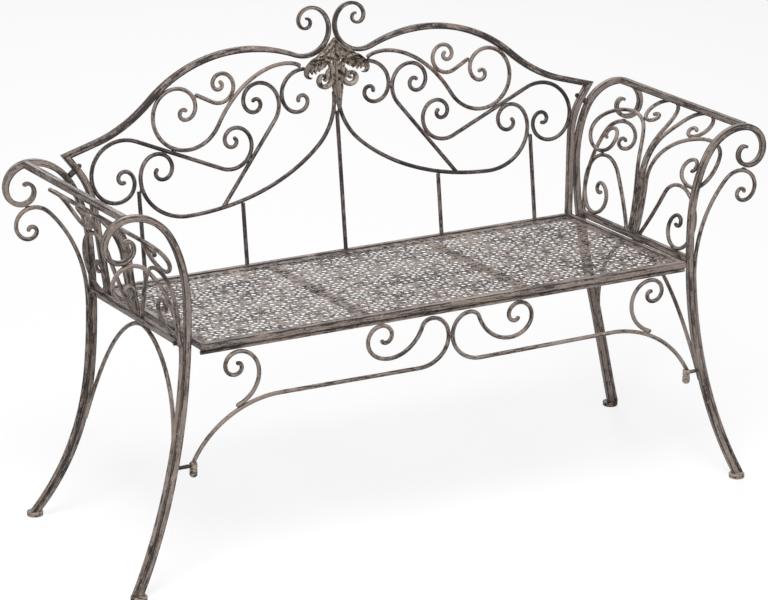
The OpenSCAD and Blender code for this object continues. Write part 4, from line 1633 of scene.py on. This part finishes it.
    def spindles(self) -> None:
        """Makes the five spindles in one piece, between the heights that the solids have."""
        plan = self.plan
        skin = Skin(self.spindle_seed)
        co = np.array([v.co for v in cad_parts["back_spindles"].data.vertices]) / MM
        outline = round_outline(plan.rod_r - self.spindle_inset)
        far, near = plan.outer_spindle_x, plan.inner_spindle_x
        for x in (-far, -near, 0.0, near, far):
            top = co[np.abs(co[:, 0] - x) < plan.rod_r + 1, 2].max()
            v = (top - plan.back_foot[1]) / math.cos(math.radians(plan.recline)) - self.spindle_air
            path = Path.straight((x, 0.0), (x, v), int(v / self.spindle_step))
            skin.sweep(path, plan.in_back, outline, self.on_seat, tip_end=False)
        skin.piece("back_spindle_rods", Finish.DARK_ROD, "back_spindles")


# Seat


@dataclass(frozen=True)
class Dot:
    """A round hole of a tile, with its place round the middle as a distance and an angle."""

    r: float
    angle: float
    radius: float

    def outline(self, turn: float, way: int = 1) -> list[tuple[float, float]]:
        """The hole's outline.

        Args:
            turn: Angle by which it is turned round the tile's middle.
            way: -1 turns its own angle the other way.

        Returns:
            Points in millimetres from the tile's middle.
        """
        a = math.radians(turn + way * self.angle)
        x, y = self.r * math.cos(a), self.r * math.sin(a)
        turns = np.arange(8) * math.pi / 4
        return [(x + self.radius * math.cos(t), y + self.radius * math.sin(t)) for t in turns]


@dataclass(frozen=True)
class Drop:
    """A comma-shaped hole of a tile, fat at its head and thin at its tail.

    Attributes:
        r: Distance of its middle from the tile's middle.
        lean: Angle from straight outwards to its head.
        hook: Sideways bend of its middle, as a share of the length.
        stations: Shares of its length at which it has points.
        head, fullness: Powers that move the widest place headwards and round the sides.
    """

    r: float
    length: float
    width: float
    lean: float = 0.0
    hook: float = 0.0
    stations: tuple[float, ...] = (0.0, 0.22, 0.5, 0.74, 0.92, 1.0)
    head: float = 1.55
    fullness: float = 0.75

    def outline(self, turn: float) -> list[tuple[float, float]]:
        """The hole's outline.

        Args:
            turn: Where it lies round the tile's middle, in degrees.

        Returns:
            Points in millimetres from the tile's middle.
        """
        a, b = math.radians(turn), math.radians(turn + self.lean)
        x, y = self.r * math.cos(a), self.r * math.sin(a)
        one, two = [], []
        for t in self.stations:
            share = math.sin(math.pi * t**self.head) ** self.fullness if 0 < t < 1 else 0.0
            half = self.width / 2 * share
            u = self.length * (t - 0.5)
            v = self.hook * self.length * (1 - (2 * t - 1) ** 2)
            for row, w in ((one, v + half), (two, v - half)):
                row.append((x + u * math.cos(b) - w * math.sin(b), y + u * math.sin(b) + w * math.cos(b)))
        return one + two[-2:0:-1]


@dataclass
class Seat:
    """Seat frame and its pierced sheet.

    Attributes:
        edge_t: Thickness left at the holes' rounded edges.
        sheet_air: Air between the sheet and the frame, on both sides together.
        middle, ring: Hole in the middle of a tile, and those repeated eight times round it.
        corners: Angle of each corner hole, and which way the dots beside it lie.
        corner, beside: Hole in a corner of a tile and the dots on both sides of it.
        bevel, dents: Radius of a bar's corners and depth of its dents, as a share of its size.
    """

    plan: Plan
    edge_t: float = 0.9
    sheet_air: float = 0.4
    middle: Dot = Dot(0.0, 0.0, 4.6)
    ring: tuple[Dot | Drop, ...] = (
        Drop(13.8, 12.0, 8.2, 180.0),
        Dot(22.2, 22.5, 3.0),
        Drop(27.6, 13.5, 10.0, 18.0, 0.22),
        Dot(31.2, 22.5, 3.3),
    )
    corners: tuple[tuple[float, int], ...] = ((41.7, 1), (138.3, -1), (221.7, 1), (318.3, -1))
    corner: Drop = Drop(43.4, 11.5, 9.6)
    beside: tuple[Dot, ...] = (Dot(39.6, -17.0, 2.9), Dot(37.2, 17.0, 2.5))
    bevel: float = 1.3
    dents: float = 0.015
    step: float = 11.0
    seed: int = 310

    def bar(self, skin: Skin, start: tuple[float, float], end: tuple[float, float]) -> None:
        """Sweeps a bar of the frame.

        Args:
            skin: Skin that takes it.
            start: Its first point on the seat.
            end: Its last.
        """
        plan = self.plan
        path = Path.straight(start, end, int(math.dist(start, end) / self.step))
        place: Place = lambda x, y, d: plan.in_seat(x, y, d - plan.bar_r)
        outline = bar_outline(plan.bar_d - AIR, plan.bar_d - AIR, self.bevel)
        skin.sweep(path, place, outline, tip_end=False, dents=self.dents)

    def build(self) -> None:
        """Makes the frame and the sheet."""
        w, d, r = self.plan.half_w, self.plan.seat_d, self.plan.bar_r
        runs = {
            "seat_front_rail": ((-w, r), (w, r)),
            "seat_back_rail": ((-w, d - r), (w, d - r)),
            "seat_left_rail": ((-w + r, 2 * r), (-w + r, d - 2 * r)),
            "seat_right_rail": ((w - r, 2 * r), (w - r, d - 2 * r)),
        }
        for k, (node, (start, end)) in enumerate(runs.items()):
            skin = Skin(self.seed + k)
            self.bar(skin, start, end)
            skin.piece(f"{node}_bar", Finish.BAR, node)
        self.sheet()

    def holes(self) -> list[list[tuple[float, float]]]:
        """Holes of one tile.

        Returns:
            Their outlines, in millimetres from its middle.
        """
        out = [self.middle.outline(0.0)]
        for k in range(8):
            out += [hole.outline(45.0 * k) for hole in self.ring]
        for turn, way in self.corners:
            out.append(self.corner.outline(turn))
            out += [dot.outline(turn, way) for dot in self.beside]
        return out

    def tile(self) -> bpy.types.Object:
        """Draws the holes of one tile.

        Returns:
            A curve object of closed outlines.
        """
        curve = bpy.data.curves.new("tile_holes", "CURVE")
        for hole in self.holes():
            spline = curve.splines.new("POLY")
            spline.points.add(len(hole) - 1)
            for point, (x, y) in zip(spline.points, hole):
                point.co = (x * MM, y * MM, 0.0, 1.0)
            spline.use_cyclic_u = True
        return placed("tile_holes", curve)

    @staticmethod
    def pierced_sheet_tree() -> bpy.types.NodeTree:
        """Makes the tree of a sheet with one tile's holes repeated over it.

        Returns:
            The tree, with its sizes and finish as named inputs.
        """
        sizes = dict.fromkeys(("Width", "Depth", "Tile Width", "Tile Depth", "Thickness"), "Float")
        inputs = {"Tile Holes": "Object", **sizes, "Columns": "Int", "Rows": "Int"}
        t = GeometryTree("pierced_sheet", inputs)
        given = t.given
        counts = {"Vertices X": given["Columns"], "Vertices Y": given["Rows"]}
        spans = {
            "Size X": (given["Columns"] - 1.0) * given["Tile Width"],
            "Size Y": (given["Rows"] - 1.0) * given["Tile Depth"],
        }
        grid = t.node("GeometryNodeMeshGrid", {}, {**spans, **counts})["Mesh"]
        holes = t.node("GeometryNodeObjectInfo", {}, {"Object": given["Tile Holes"]})["Geometry"]
        values = {"Points": grid, "Instance": holes}
        spread = t.node("GeometryNodeInstanceOnPoints", {}, values)["Instances"]
        real = t.node("GeometryNodeRealizeInstances", {}, {"Geometry": spread})["Geometry"]
        size = {"Width": given["Width"], "Height": given["Depth"]}
        edge = t.node("GeometryNodeCurvePrimitiveQuadrilateral", {}, size)["Curve"]
        curves = t.node("GeometryNodeJoinGeometry", {}, {"Geometry": [real, edge]})["Geometry"]
        fill = t.node("GeometryNodeFillCurve", {}, {"Curve": curves})["Mesh"]
        down = {"Mesh": fill, "Offset Scale": given["Thickness"] * -1.0, "Individual": False}
        thick = t.node("GeometryNodeExtrudeMesh", {}, down)["Mesh"]
        under = t.node("GeometryNodeFlipFaces", {}, {"Mesh": thick})["Mesh"]
        both = t.node("GeometryNodeJoinGeometry", {}, {"Geometry": [under, fill]})["Geometry"]
        values = {"Geometry": both, "Distance": 1e-6}
        merged = t.node("GeometryNodeMergeByDistance", {}, values)["Geometry"]
        return t.finish(t.shaded(merged, False))

    def sheet(self) -> None:
        """Makes the sheet: one tile's holes set out in rows, filled round and given their thickness."""
        plan = self.plan
        width = plan.seat_w - 2 * plan.bar_d - self.sheet_air
        depth = plan.seat_d - 2 * plan.bar_d - self.sheet_air
        tile = self.tile()
        values = {
            "Tile Holes": tile,
            "Width": width * MM,
            "Depth": depth * MM,
            "Columns": plan.tile_cols,
            "Rows": plan.tile_rows,
            "Tile Width": (width - 2 * plan.sheet_margin) / plan.tile_cols * MM,
            "Tile Depth": (depth - 2 * plan.sheet_margin) / plan.tile_rows * MM,
            "Thickness": self.edge_t * MM,
            "Finish": Finish.SHEET.material,
        }
        host_mesh = bpy.data.meshes.new("sheet_host")
        made = grown("pierced_seat_sheet", host_mesh, self.pierced_sheet_tree(), values)
        bpy.data.objects.remove(tile)
        middle = plan.bar_d + (plan.seat_d - 2 * plan.bar_d) / 2
        flat = np.array([v.co for v in made.data.vertices]) / MM
        leaning = [plan.in_seat(x, middle + y, -plan.sheet_recess + z) * MM for x, y, z in flat]
        made.data.vertices.foreach_set("co", np.array(leaning, np.float32).ravel())
        made.data.update()
        dress(made, Finish.SHEET, "seat_sheet")


# Apron


@dataclass
class Apron:
    """Rod under the seat's front rail and the scrolls that hang from it.

    Attributes:
        scroll, curl: Drawn scroll and curl of one half.
        long_steps, long_dents: Steps along the long rod and depth of its dents, as a share.
        waist: Depth of the sleeves' grooves.
    """

    plan: Plan
    scroll: Drawn = (
        (511.3, 230.6, 117.4),
        ((188, 190, 63), (275,), (65, 12, -252), (85, 32, 134), (33, 4, 371)),
    )
    curl: Drawn = ((426.1, 322.2, 159.8), ((69, 25, -187), (25, 4, -348)))
    long_steps: int = 90
    long_dents: float = 0.06
    waist: float = 1.5
    seed: int = 400

    def build(self) -> None:
        """Makes the apron."""
        plan = self.plan
        a = math.radians(plan.seat_pitch)
        drop = plan.bar_d + plan.weld_gap + plan.rod_r
        y = plan.bar_r * math.cos(a) - drop * math.sin(a)
        z = plan.seat_h - drop * math.cos(a) - plan.bar_r * math.sin(a)
        place: Place = lambda px, pz, d: plan.centred(px, y - d, pz)
        round_rod = round_outline(plan.rod_r)
        rod = Skin(self.seed)
        path = Path.straight((-plan.half_w, z), (plan.half_w, z), self.long_steps)
        rod.sweep(path, place, round_rod, tip_end=False, dents=self.long_dents)
        rod.piece("apron_long_rod", Finish.ROD, "apron_rod")
        x0, y0, _ = self.scroll[0]
        drawn = Path.bent(*self.scroll).points
        sleeve_x = plan.half_w + plan.apron_out
        sleeve_top = z - 2 * plan.rod_r - plan.weld_gap - plan.apron_h
        kx = (sleeve_x - plan.rod_r - plan.weld_gap / 2) / (x0 - drawn[:, 0].min())
        kz = plan.apron_h / (drawn[:, 1].max() - y0)
        stand = (UP * (sleeve_top + AIR), UP)
        for side in Side:
            seed = self.seed + 10 * (1 + (side is Side.LEFT))
            for name, shape, foot in (("scroll", self.scroll, stand), ("curl", self.curl, None)):
                path = Path.bent(*shape).stretched(kx, kz, x0, y0)
                path = path.moved(sleeve_x - x0, sleeve_top + plan.weld_gap - y0)
                skin = Skin(seed)
                seed += 1
                skin.sweep(path, place, round_rod, foot, tip_start=foot is None)
                node = side.of(f"apron_{name}")
                skin.piece(f"{node}_rod", Finish.ROD, node, side=side)
        self.sleeves(sleeve_x, y, sleeve_top)

    def sleeves(self, x: float, y: float, top: float) -> None:
        """Makes the turned sleeves under the scrolls.

        Args:
            x: Distance of their axes from the middle.
            y: Distance of their axes behind the seat's front edge.
            top: Height of their tops.
        """
        plan = self.plan
        r, h, w = plan.sleeve_d / 2, plan.sleeve_h, self.waist
        profile = (
            (0, 0), (r - 2.6 * w, 0), (r - 1.4 * w, 0.6 * w), (r - 0.3 * w, 1.8 * w), (r, 2.4 * w),
            (r, h * 0.49), (r - 0.5 * w, h * 0.52), (r - w, h * 0.55), (r - 0.5 * w, h * 0.58),
            (r, h * 0.61), (r, h - w), (r - 0.4 * w, h - 0.3 * w), (r - 1.2 * w, h), (0, h),
        )
        skin = Skin(self.seed + 30)
        for side in Side:
            skin.turned(profile, plan.centred(side.value * x, y, top - h))
        skin.piece("apron_foot_sleeves", Finish.CAST, "apron_sleeves")


# Feet, ornament and small parts


@dataclass
class Feet:
    """Turned caps under the legs."""

    plan: Plan
    seed: int = 440

    def build(self) -> None:
        """Makes the four caps in one piece, where the solids have them."""
        low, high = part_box("foot_caps")
        r, h = self.plan.cap_d / 2, self.plan.cap_h
        profile = (
            (0, 0), (r - 1.6, 0), (r - 0.6, 0.4), (r - 0.2, 1.2), (r - 0.2, h - 5.0), (r - 0.8, h - 4.4),
            (r - 1.5, h - 4.1), (r - 0.7, h - 3.7), (r, h - 3.1), (r, h - 1.6), (r - 0.6, h - 0.8),
            (r - 2.0, h - 0.3), (r - 5.5, h - 0.1), (0, h - 0.1),
        )
        skin = Skin(self.seed)
        for x in (low.x / MM + r, high.x / MM - r):
            for y in (low.y / MM + r, high.y / MM - r):
                skin.turned(profile, np.array([x, y, 0.0]))
        skin.piece("turned_foot_caps", Finish.CAST, "foot_caps")


@dataclass(frozen=True)
class Lobe:
    """One fluted lobe of the cast ornament.

    Attributes:
        line: Points of its midrib in the back's plane, from the middle outwards.
        outer: Widths to the left of the midrib, spread evenly over its length.
        lift: Height of its ribs, as a share of the ornament's relief.
        flutes: Heights from the edge to the midrib, as shares of the lift.
        inner: Widths to the right of the midrib, where they differ.
    """

    line: Sequence[tuple[float, float]]
    outer: Sequence[float]
    lift: float
    flutes: Sequence[float] = (0.4, 0.9, 0.55, 1.0, 0.65)
    inner: Sequence[float] = ()


@dataclass
class Ornament:
    """Cast leaf ornament in front of the middle of the back.

    Attributes:
        relief: Height of its highest ribs.
        plate: Plate behind the lobes.
        shield, halves: Lobe that hangs down in the middle and the lobes of one half.
        eyes, eye_half: Height and lift of each eye, a dark lump of painted shade where the casting has a
            recess, and half its width and height.
        tip_rise: Share of the relief that a lobe keeps at a sharp tip.
        full_width: Width that adds the whole relief.
        draft: Width of a lobe at its back, as a share of its width.
        groove: Height below which the relief counts as a groove, which takes painted shade.
    """

    plan: Plan
    relief: float = 12.0
    plate: Lobe = Lobe(
        ((0, 399), (0, 391), (0, 382), (0, 373), (0, 365), (0, 357)),
        (1.5, 10, 22, 34, 43, 31),
        0.62,
        (0.4, 0.8, 0.5, 0.95, 0.55, 1.0, 0.55, 1.0, 0.4),
    )
    shield: Lobe = Lobe(
        tuple((0.0, 366.0 - 10.0 * k) for k in range(11)),
        (4, 7, 8, 8.4, 9, 11, 11.5, 9, 6, 4, 1),
        0.95,
        (0.4, 0.85, 0.5, 1.0, 0.8),
    )
    halves: Sequence[Lobe] = (
        Lobe(((20, 359), (29, 352), (39, 347), (50, 343)), (6, 9, 8, 3), 0.3, (0.9, 1.0)),
        Lobe(((56, 353), (60, 344), (58, 337)), (5, 3.8, 0.5), 0.6, (0.45, 1.0, 0.8)),
        Lobe(((49, 354), (53, 344), (51, 335)), (5, 4.0, 0.5), 0.68, (0.45, 1.0, 0.8)),
        Lobe(((42, 354), (46, 344), (43, 335)), (5, 4.2, 0.5), 0.6, (0.45, 1.0, 0.8)),
        Lobe(((35, 354), (38, 346), (35, 338)), (4, 3.6, 0.5), 0.5, (0.45, 1.0, 0.8)),
        Lobe(
            ((12, 361), (28, 362), (44, 358), (56, 351), (63, 342), (63, 334), (58, 329), (53, 329.5)),
            (5, 6.5, 6.5, 6, 5.5, 4.5, 3, 1),
            0.85,
            inner=(5, 6, 6.5, 6, 5, 4, 2.5, 1),
        ),
        Lobe(
            (
                (55, 357), (47, 362), (36, 364), (24, 361), (15, 353), (11, 341), (11, 328), (15, 316),
                (24, 310), (34, 312), (39, 321), (35, 330), (27, 331), (24, 325), (28, 321),
            ),
            (1, 2, 2.8, 3.3, 3.6, 3.7, 3.8, 4.2, 4.7, 4.8, 4.6, 4.2, 3.6, 3.4, 2.8),
            1.0,
            (0.4, 0.85, 1.0, 1.0),
        ),
        Lobe(((6, 389), (14, 380), (26, 372), (38, 367)), (2, 2.5, 3, 1.5), 0.85, (0.4, 0.9, 1.0)),
        Lobe(((14, 344), (19, 337), (21, 329), (18, 322)), (1, 3, 3, 1), 0.7, (0.4, 0.9, 1.0)),
    )
    eyes: Sequence[tuple[float, float]] = ((391.0, 0.8), (365.0, 1.22), (338.0, 1.22), (323.0, 1.22))
    eye_half: tuple[float, float] = (2.3, 3.6)
    step: float = 1.2
    tip_rise: float = 0.45
    full_width: float = 4.5
    draft: float = 0.94
    groove: float = 0.4
    seed: int = 451

    def add(self, skin: Skin, lobe: Lobe) -> None:
        """Adds one lobe to a skin.

        Args:
            skin: Skin that takes it.
            lobe: Its outline and relief.
        """
        path = Path.through(lobe.line, step=self.step)
        share = np.linspace(0, 1, len(path.points))
        outer, inner = (
            np.interp(share, np.linspace(0, 1, len(widths)), widths)
            for widths in (lobe.outer, lobe.inner or lobe.outer)
        )
        back = self.plan.bar_r + self.plan.weld_gap
        across = np.linspace(1, 0, len(lobe.flutes))
        outlines = []
        for left, right in zip(outer, inner):
            rise = self.relief * lobe.lift * min(1.0, self.tip_rise + left / self.full_width)
            half = [(left * f, back + rise * h) for f, h in zip(across, lobe.flutes)]
            other = [(-right * f, back + rise * h) for f, h in zip(across[-2::-1], lobe.flutes[-2::-1])]
            ends = (left * self.draft, back), (-right * self.draft, back)
            outlines.append(np.array([ends[0], *half, *other, ends[1]]))
        # Relief heights of the outline, which set the painted shade in the grooves.
        shade = [(h - self.groove) / (1 - self.groove) for h in lobe.flutes]
        heights = np.clip(np.array([0.0, *shade, *shade[-2::-1], 0.0]), 0, 1)
        skin.sweep(path, self.plan.in_back, outlines, dents=0.0, tip_end=False, heights=heights)

    def build(self) -> None:
        """Makes the ornament and its eyes of painted shade."""
        skin = Skin(self.seed)
        for lobe in self.halves:
            self.add(skin, lobe)
        skin.add_mirror_image()
        self.add(skin, self.plate)
        self.add(skin, self.shield)
        skin.piece("leaf_ornament", Finish.CAST, "centre_ornament", crisp=50.0)
        # The eyes: dark lumps of painted shade where the casting has recesses.
        pits_and_shade = Skin(self.seed + 1)
        w, h = self.eye_half
        for v, lift in self.eyes:
            self.add(pits_and_shade, Lobe(((0, v + h), (0, v), (0, v - h)), (w / 3, w, w / 3), lift, (0.95, 1.0)))
        pits_and_shade.piece("ornament_eyes", Finish.PIT)


@dataclass
class Fastenings:
    """Solids that keep their own shape and only take a finish."""

    steel: tuple[str, ...] = ("seat_bolts", "back_studs", "back_nuts", "spacer_tubes", "apron_pins")
    braces: str = "seat_braces"

    def build(self) -> None:
        """Gives each solid's material slots its finish."""
        for name in (*self.steel, self.braces):
            # The braces take the paler paint, painted light against the shade under the sheet.
            finish = Finish.BRACE if name == self.braces else Finish.STEEL
            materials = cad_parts[name].data.materials
            if not materials:
                materials.append(finish.material)
            for i in range(len(materials)):
                materials[i] = finish.material
            log.info("%s: painted", name)


# Place, direction, second direction and size of a bead.
Spot = tuple[np.ndarray, np.ndarray, np.ndarray, np.ndarray]


@dataclass
class Welds:
    """Beads of weld where rods meet each other and the bars.

    Attributes:
        gap: Widest air between two sides that count as welded.
        butting: How deep a rod's end lies in another rod's reach where it ends on it.
        long_seam: Length, over that of a bead, from which a seam has several beads.
        seam_margin, tack_every: Distance of its outer beads from its ends and between its beads.
        bead: Half length, width and height of a bead in a groove.
        bead_out: Distance of a bead from the touching line, as a share of the rod's radius.
        collar: Height and width of the bead round a rod's foot, as shares of the rod's radius.
        thickest_rod: Reach above which a run is a bar.
        lumps, lump_scale: Height of the beads' lumps, and lumps per metre.
        least_size: Size of the smallest bead, as a share of the largest.
    """

    gap: float = 0.9
    butting: float = 1.0
    long_seam: float = 20.0
    seam_margin: float = 6.0
    tack_every: float = 105.0
    bead: tuple[float, float, float] = (4.6, 1.5, 1.5)
    bead_out: float = 0.5
    collar: tuple[float, float] = (0.42, 1.16)
    thickest_rod: float = 5.0
    lumps: float = 0.9
    lump_scale: float = 420.0
    least_size: float = 0.75
    seed: int = 7

    def spots(self) -> list[Spot]:
        """Finds where the runs touch.

        Returns:
            All beads, in millimetres.
        """
        out = []
        for k, a in enumerate(Skin.laid):
            for b in Skin.laid[k + 1 :]:
                limit = a.reach + b.reach + self.gap
                ahead = a.points.min(0) - b.points.max(0)
                apart = np.maximum(ahead, b.points.min(0) - a.points.max(0)).max()
                if apart <= limit and min(a.reach, b.reach) <= self.thickest_rod:
                    one, two = (a, b) if a.reach <= b.reach else (b, a)
                    out += self.between(one, two, limit)
        return out

    def between(self, one: Run, two: Run, limit: float) -> list[Spot]:
        """Beads between two runs.

        Args:
            one: The thinner run.
            two: The other run.
            limit: Largest distance between their centrelines that counts.

        Returns:
            The beads, in millimetres.
        """
        p, q = one.points, two.points
        way = np.gradient(p, axis=0)
        way /= np.linalg.norm(way, axis=1)[:, None]
        step = np.diff(q, axis=0)
        t = ((p[:, None] - q[None, :-1]) * step).sum(2) / (step * step).sum(1)
        near = q[None, :-1] + np.clip(t, 0, 1)[..., None] * step
        off = np.linalg.norm(near - p[:, None], axis=2)
        stations = np.arange(len(p))
        best = off.argmin(1)
        dist, near = off[stations, best], near[stations, best]
        touching = np.flatnonzero(dist < limit)
        if not len(touching):
            return []
        out = []
        for run in np.split(touching, np.flatnonzero(np.diff(touching) > 1) + 1):
            i = run[0] if run[0] == 0 else run[-1]
            if i in (0, len(p) - 1) and dist[i] < limit - self.gap - self.butting:
                slanted = [0.3, 0.5, 0.8]
                high, wide = self.collar
                size = np.array([high, wide, wide]) * one.reach
                out.append((p[i], way[i], np.cross(way[i], slanted), size))
                continue
            for i in self.picked(p, dist, run):
                to = (near[i] - p[i]) / dist[i]
                off_line = np.cross(way[i], to) * one.reach * self.bead_out
                for sign in (1, -1):
                    out.append((p[i] + to * one.reach + sign * off_line, way[i], to, np.array(self.bead)))
        return out

    def picked(self, points: np.ndarray, dist: np.ndarray, run: np.ndarray) -> list[int]:
        """Stations of a seam that take beads.

        Args:
            points: Centreline of the thinner run.
            dist: Distance of each of its stations from the other run.
            run: Stations that touch.

        Returns:
            The picked stations in order.
        """
        length = np.concatenate([[0], np.cumsum(np.linalg.norm(np.diff(points[run], axis=0), axis=1))])
        if length[-1] <= 2 * self.bead[0] + self.long_seam:
            return [int(run[dist[run].argmin()])]
        count = max(2, int(length[-1] / self.tack_every) + 1)
        places = np.linspace(self.seam_margin, length[-1] - self.seam_margin, count)
        return sorted({int(run[np.abs(length - x).argmin()]) for x in places})

    @staticmethod
    def bead_tree() -> bpy.types.NodeTree:
        """Makes the tree that sets lumpy beads on points.

        Returns:
            The tree, with its sizes, seed and finish as named inputs.
        """
        sizes = dict.fromkeys(("Lumps", "Lump Scale", "Least Size"), "Float")
        t = GeometryTree("weld_beads", {"Spots": "Geometry", **sizes, "Seed": "Int"})
        given = t.given
        named, vector = "GeometryNodeInputNamedAttribute", {"data_type": "FLOAT_VECTOR"}
        names = ("way", "up", "size")
        way, up, size = (t.node(named, vector, {"Name": name})["Attribute"] for name in names)
        axes = {"primary_axis": "X", "secondary_axis": "Y"}
        values = {"Primary Axis": way, "Secondary Axis": up}
        turn = t.node("FunctionNodeAxesToRotation", axes, values)["Rotation"]
        least, most = 2, 3
        limits = {least: given["Least Size"], most: 1.0, "Seed": given["Seed"]}
        chance = t.node("FunctionNodeRandomValue", {"data_type": "FLOAT"}, limits)["Value"]
        scale = t.vector("SCALE", {0: size, "Scale": chance})
        ball = t.node("GeometryNodeMeshIcoSphere", {}, {"Radius": 1.0, "Subdivisions": 2})["Mesh"]
        values = {"Points": given["Spots"], "Instance": ball, "Rotation": turn, "Scale": scale}
        beads = t.node("GeometryNodeInstanceOnPoints", {}, values)["Instances"]
        real = t.node("GeometryNodeRealizeInstances", {}, {"Geometry": beads})["Geometry"]
        place = t.node("GeometryNodeInputPosition", {}, {})["Position"]
        values = {"Vector": place, "Scale": given["Lump Scale"], "Detail": 1.0}
        noise = t.node("ShaderNodeTexNoise", {}, values)["Color"]
        push = t.vector("SUBTRACT", {0: noise, 1: (0.5, 0.5, 0.5)})
        push = t.vector("SCALE", {0: push, "Scale": given["Lumps"]})
        lumpy = t.node("GeometryNodeSetPosition", {}, {"Geometry": real, "Offset": push})["Geometry"]
        return t.finish(t.shaded(lumpy, True))

    def build(self) -> None:
        """Makes all beads in one piece."""
        places, ways, ups, sizes = (np.array(column, np.float64) for column in zip(*self.spots()))
        mesh = bpy.data.meshes.new("weld_spots")
        mesh.from_pydata((places * MM).tolist(), [], [])
        for name, rows in (("way", ways), ("up", ups), ("size", sizes * MM)):
            layer = mesh.attributes.new(name, "FLOAT_VECTOR", "POINT")
            layer.data.foreach_set("vector", rows.astype(np.float32).ravel())
        values = {
            "Lumps": self.lumps * MM,
            "Lump Scale": self.lump_scale,
            "Least Size": self.least_size,
            "Seed": self.seed,
            "Finish": Finish.WELD.material,
        }
        log.info("%d beads", len(places))
        dress(grown("weld_beads", mesh, self.bead_tree(), values), Finish.WELD)


# Studio


@dataclass(frozen=True)
class Lamp:
    """A square lamp that points at the bench, with its place, its side and its power in watts."""

    name: str
    at: tuple[float, float, float]
    size: float
    power: float


@dataclass
class Studio:
    """Ground, lights and camera, in metres and radians.

    Attributes:
        turn, rise, distance: Where the camera stands round the target.
        roll, side_step, up_step: Its roll about its own axis and its shift.
        world_light: Brightness of the light from all round.
    """

    turn: float = -0.51444
    rise: float = 0.32579
    roll: float = 0.01175
    distance: float = 6.38327
    side_step: float = -0.0207
    up_step: float = -0.06281
    target: tuple[float, float, float] = (0.0, -0.01427, 0.45225)
    lens: float = 164.06
    sensor: float = 36.0
    clip_end: float = 100.0
    lamps: tuple[Lamp, ...] = (
        Lamp("key", (-1.6, -2.0, 4.4), 1.7, 246.0),
        Lamp("fill", (3.8, -3.0, 1.8), 2.2, 42.0),
        Lamp("rim", (1.2, 3.6, 3.4), 1.6, 66.0),
    )
    lit: tuple[float, float, float] = (0.0, 0.0, 0.45)
    world_light: float = 0.27
    ground_half: float = 30.0

    def build(self) -> None:
        """Makes the scene round the bench."""
        self.ground()
        self.lights()
        self.world()
        self.camera()
        bpy.context.scene.view_settings.view_transform = "Standard"

    def ground(self) -> None:
        """Lays the ground."""
        mesh = bpy.data.meshes.new("ground")
        s = self.ground_half
        mesh.from_pydata([(-s, -s, 0), (s, -s, 0), (s, s, 0), (-s, s, 0)], [], [(0, 1, 2, 3)])
        mesh.materials.append(Ground().build())
        placed("ground", mesh)

    def lights(self) -> None:
        """Hangs the lamps."""
        for lamp in self.lamps:
            light = bpy.data.lights.new(lamp.name, "AREA")
            light.size = lamp.size
            light.energy = lamp.power
            obj = placed(lamp.name, light)
            obj.location = lamp.at
            obj.rotation_euler = (Vector(self.lit) - Vector(lamp.at)).to_track_quat("-Z", "Y").to_euler()

    def world(self) -> None:
        """Sets a soft light from all round, seen as plain white."""
        bpy.context.scene.world = bpy.data.worlds.new("studio")
        t = tree_of(bpy.context.scene.world)
        path = t.node("ShaderNodeLightPath", {}, {})
        soft, white = (
            t.node("ShaderNodeBackground", {}, {"Color": WHITE, "Strength": strength})["Background"]
            for strength in (self.world_light, 1.0)
        )
        seen = t.math("MAXIMUM", path["Is Camera Ray"], path["Is Glossy Ray"])
        seen = t.math("MAXIMUM", seen, path["Is Transmission Ray"])
        shader = t.node("ShaderNodeMixShader", {}, {0: seen, 1: soft, 2: white})["Shader"]
        t.node("ShaderNodeOutputWorld", {}, {"Surface": shader})

    def camera(self) -> None:
        """Sets the camera where the photograph was taken."""
        level = math.cos(self.rise)
        back = Vector((math.sin(self.turn) * level, -math.cos(self.turn) * level, math.sin(self.rise)))
        right = Vector((math.cos(self.turn), math.sin(self.turn), 0.0))
        up = back.cross(right)
        c, s = math.cos(self.roll), math.sin(self.roll)
        right, up = c * right + s * up, -s * right + c * up
        place = Vector(self.target) + right * self.side_step + up * self.up_step + back * self.distance
        data = bpy.data.cameras.new("camera")
        data.sensor_width = self.sensor
        data.sensor_fit = "HORIZONTAL"
        data.lens = self.lens
        data.clip_end = self.clip_end
        obj = placed("camera", data)
        obj.matrix_world = Matrix.Translation(place) @ Matrix((right, up, back)).transposed().to_4x4()
        bpy.context.scene.camera = obj


def main() -> None:
    """Builds the pieces in order."""
    logging.basicConfig(level=logging.INFO, format="%(message)s")
    for finish in Finish:
        finish.value.build()
    plan = Plan()
    legs = Legs(plan)
    legs.build()
    for assembly in (Arms(plan, legs), Back(plan), Seat(plan), Apron(plan), Feet(plan), Ornament(plan)):
        assembly.build()
    Welds().build()
    Fastenings().build()
    Studio().build()


if __name__ == "__main__":
    main()
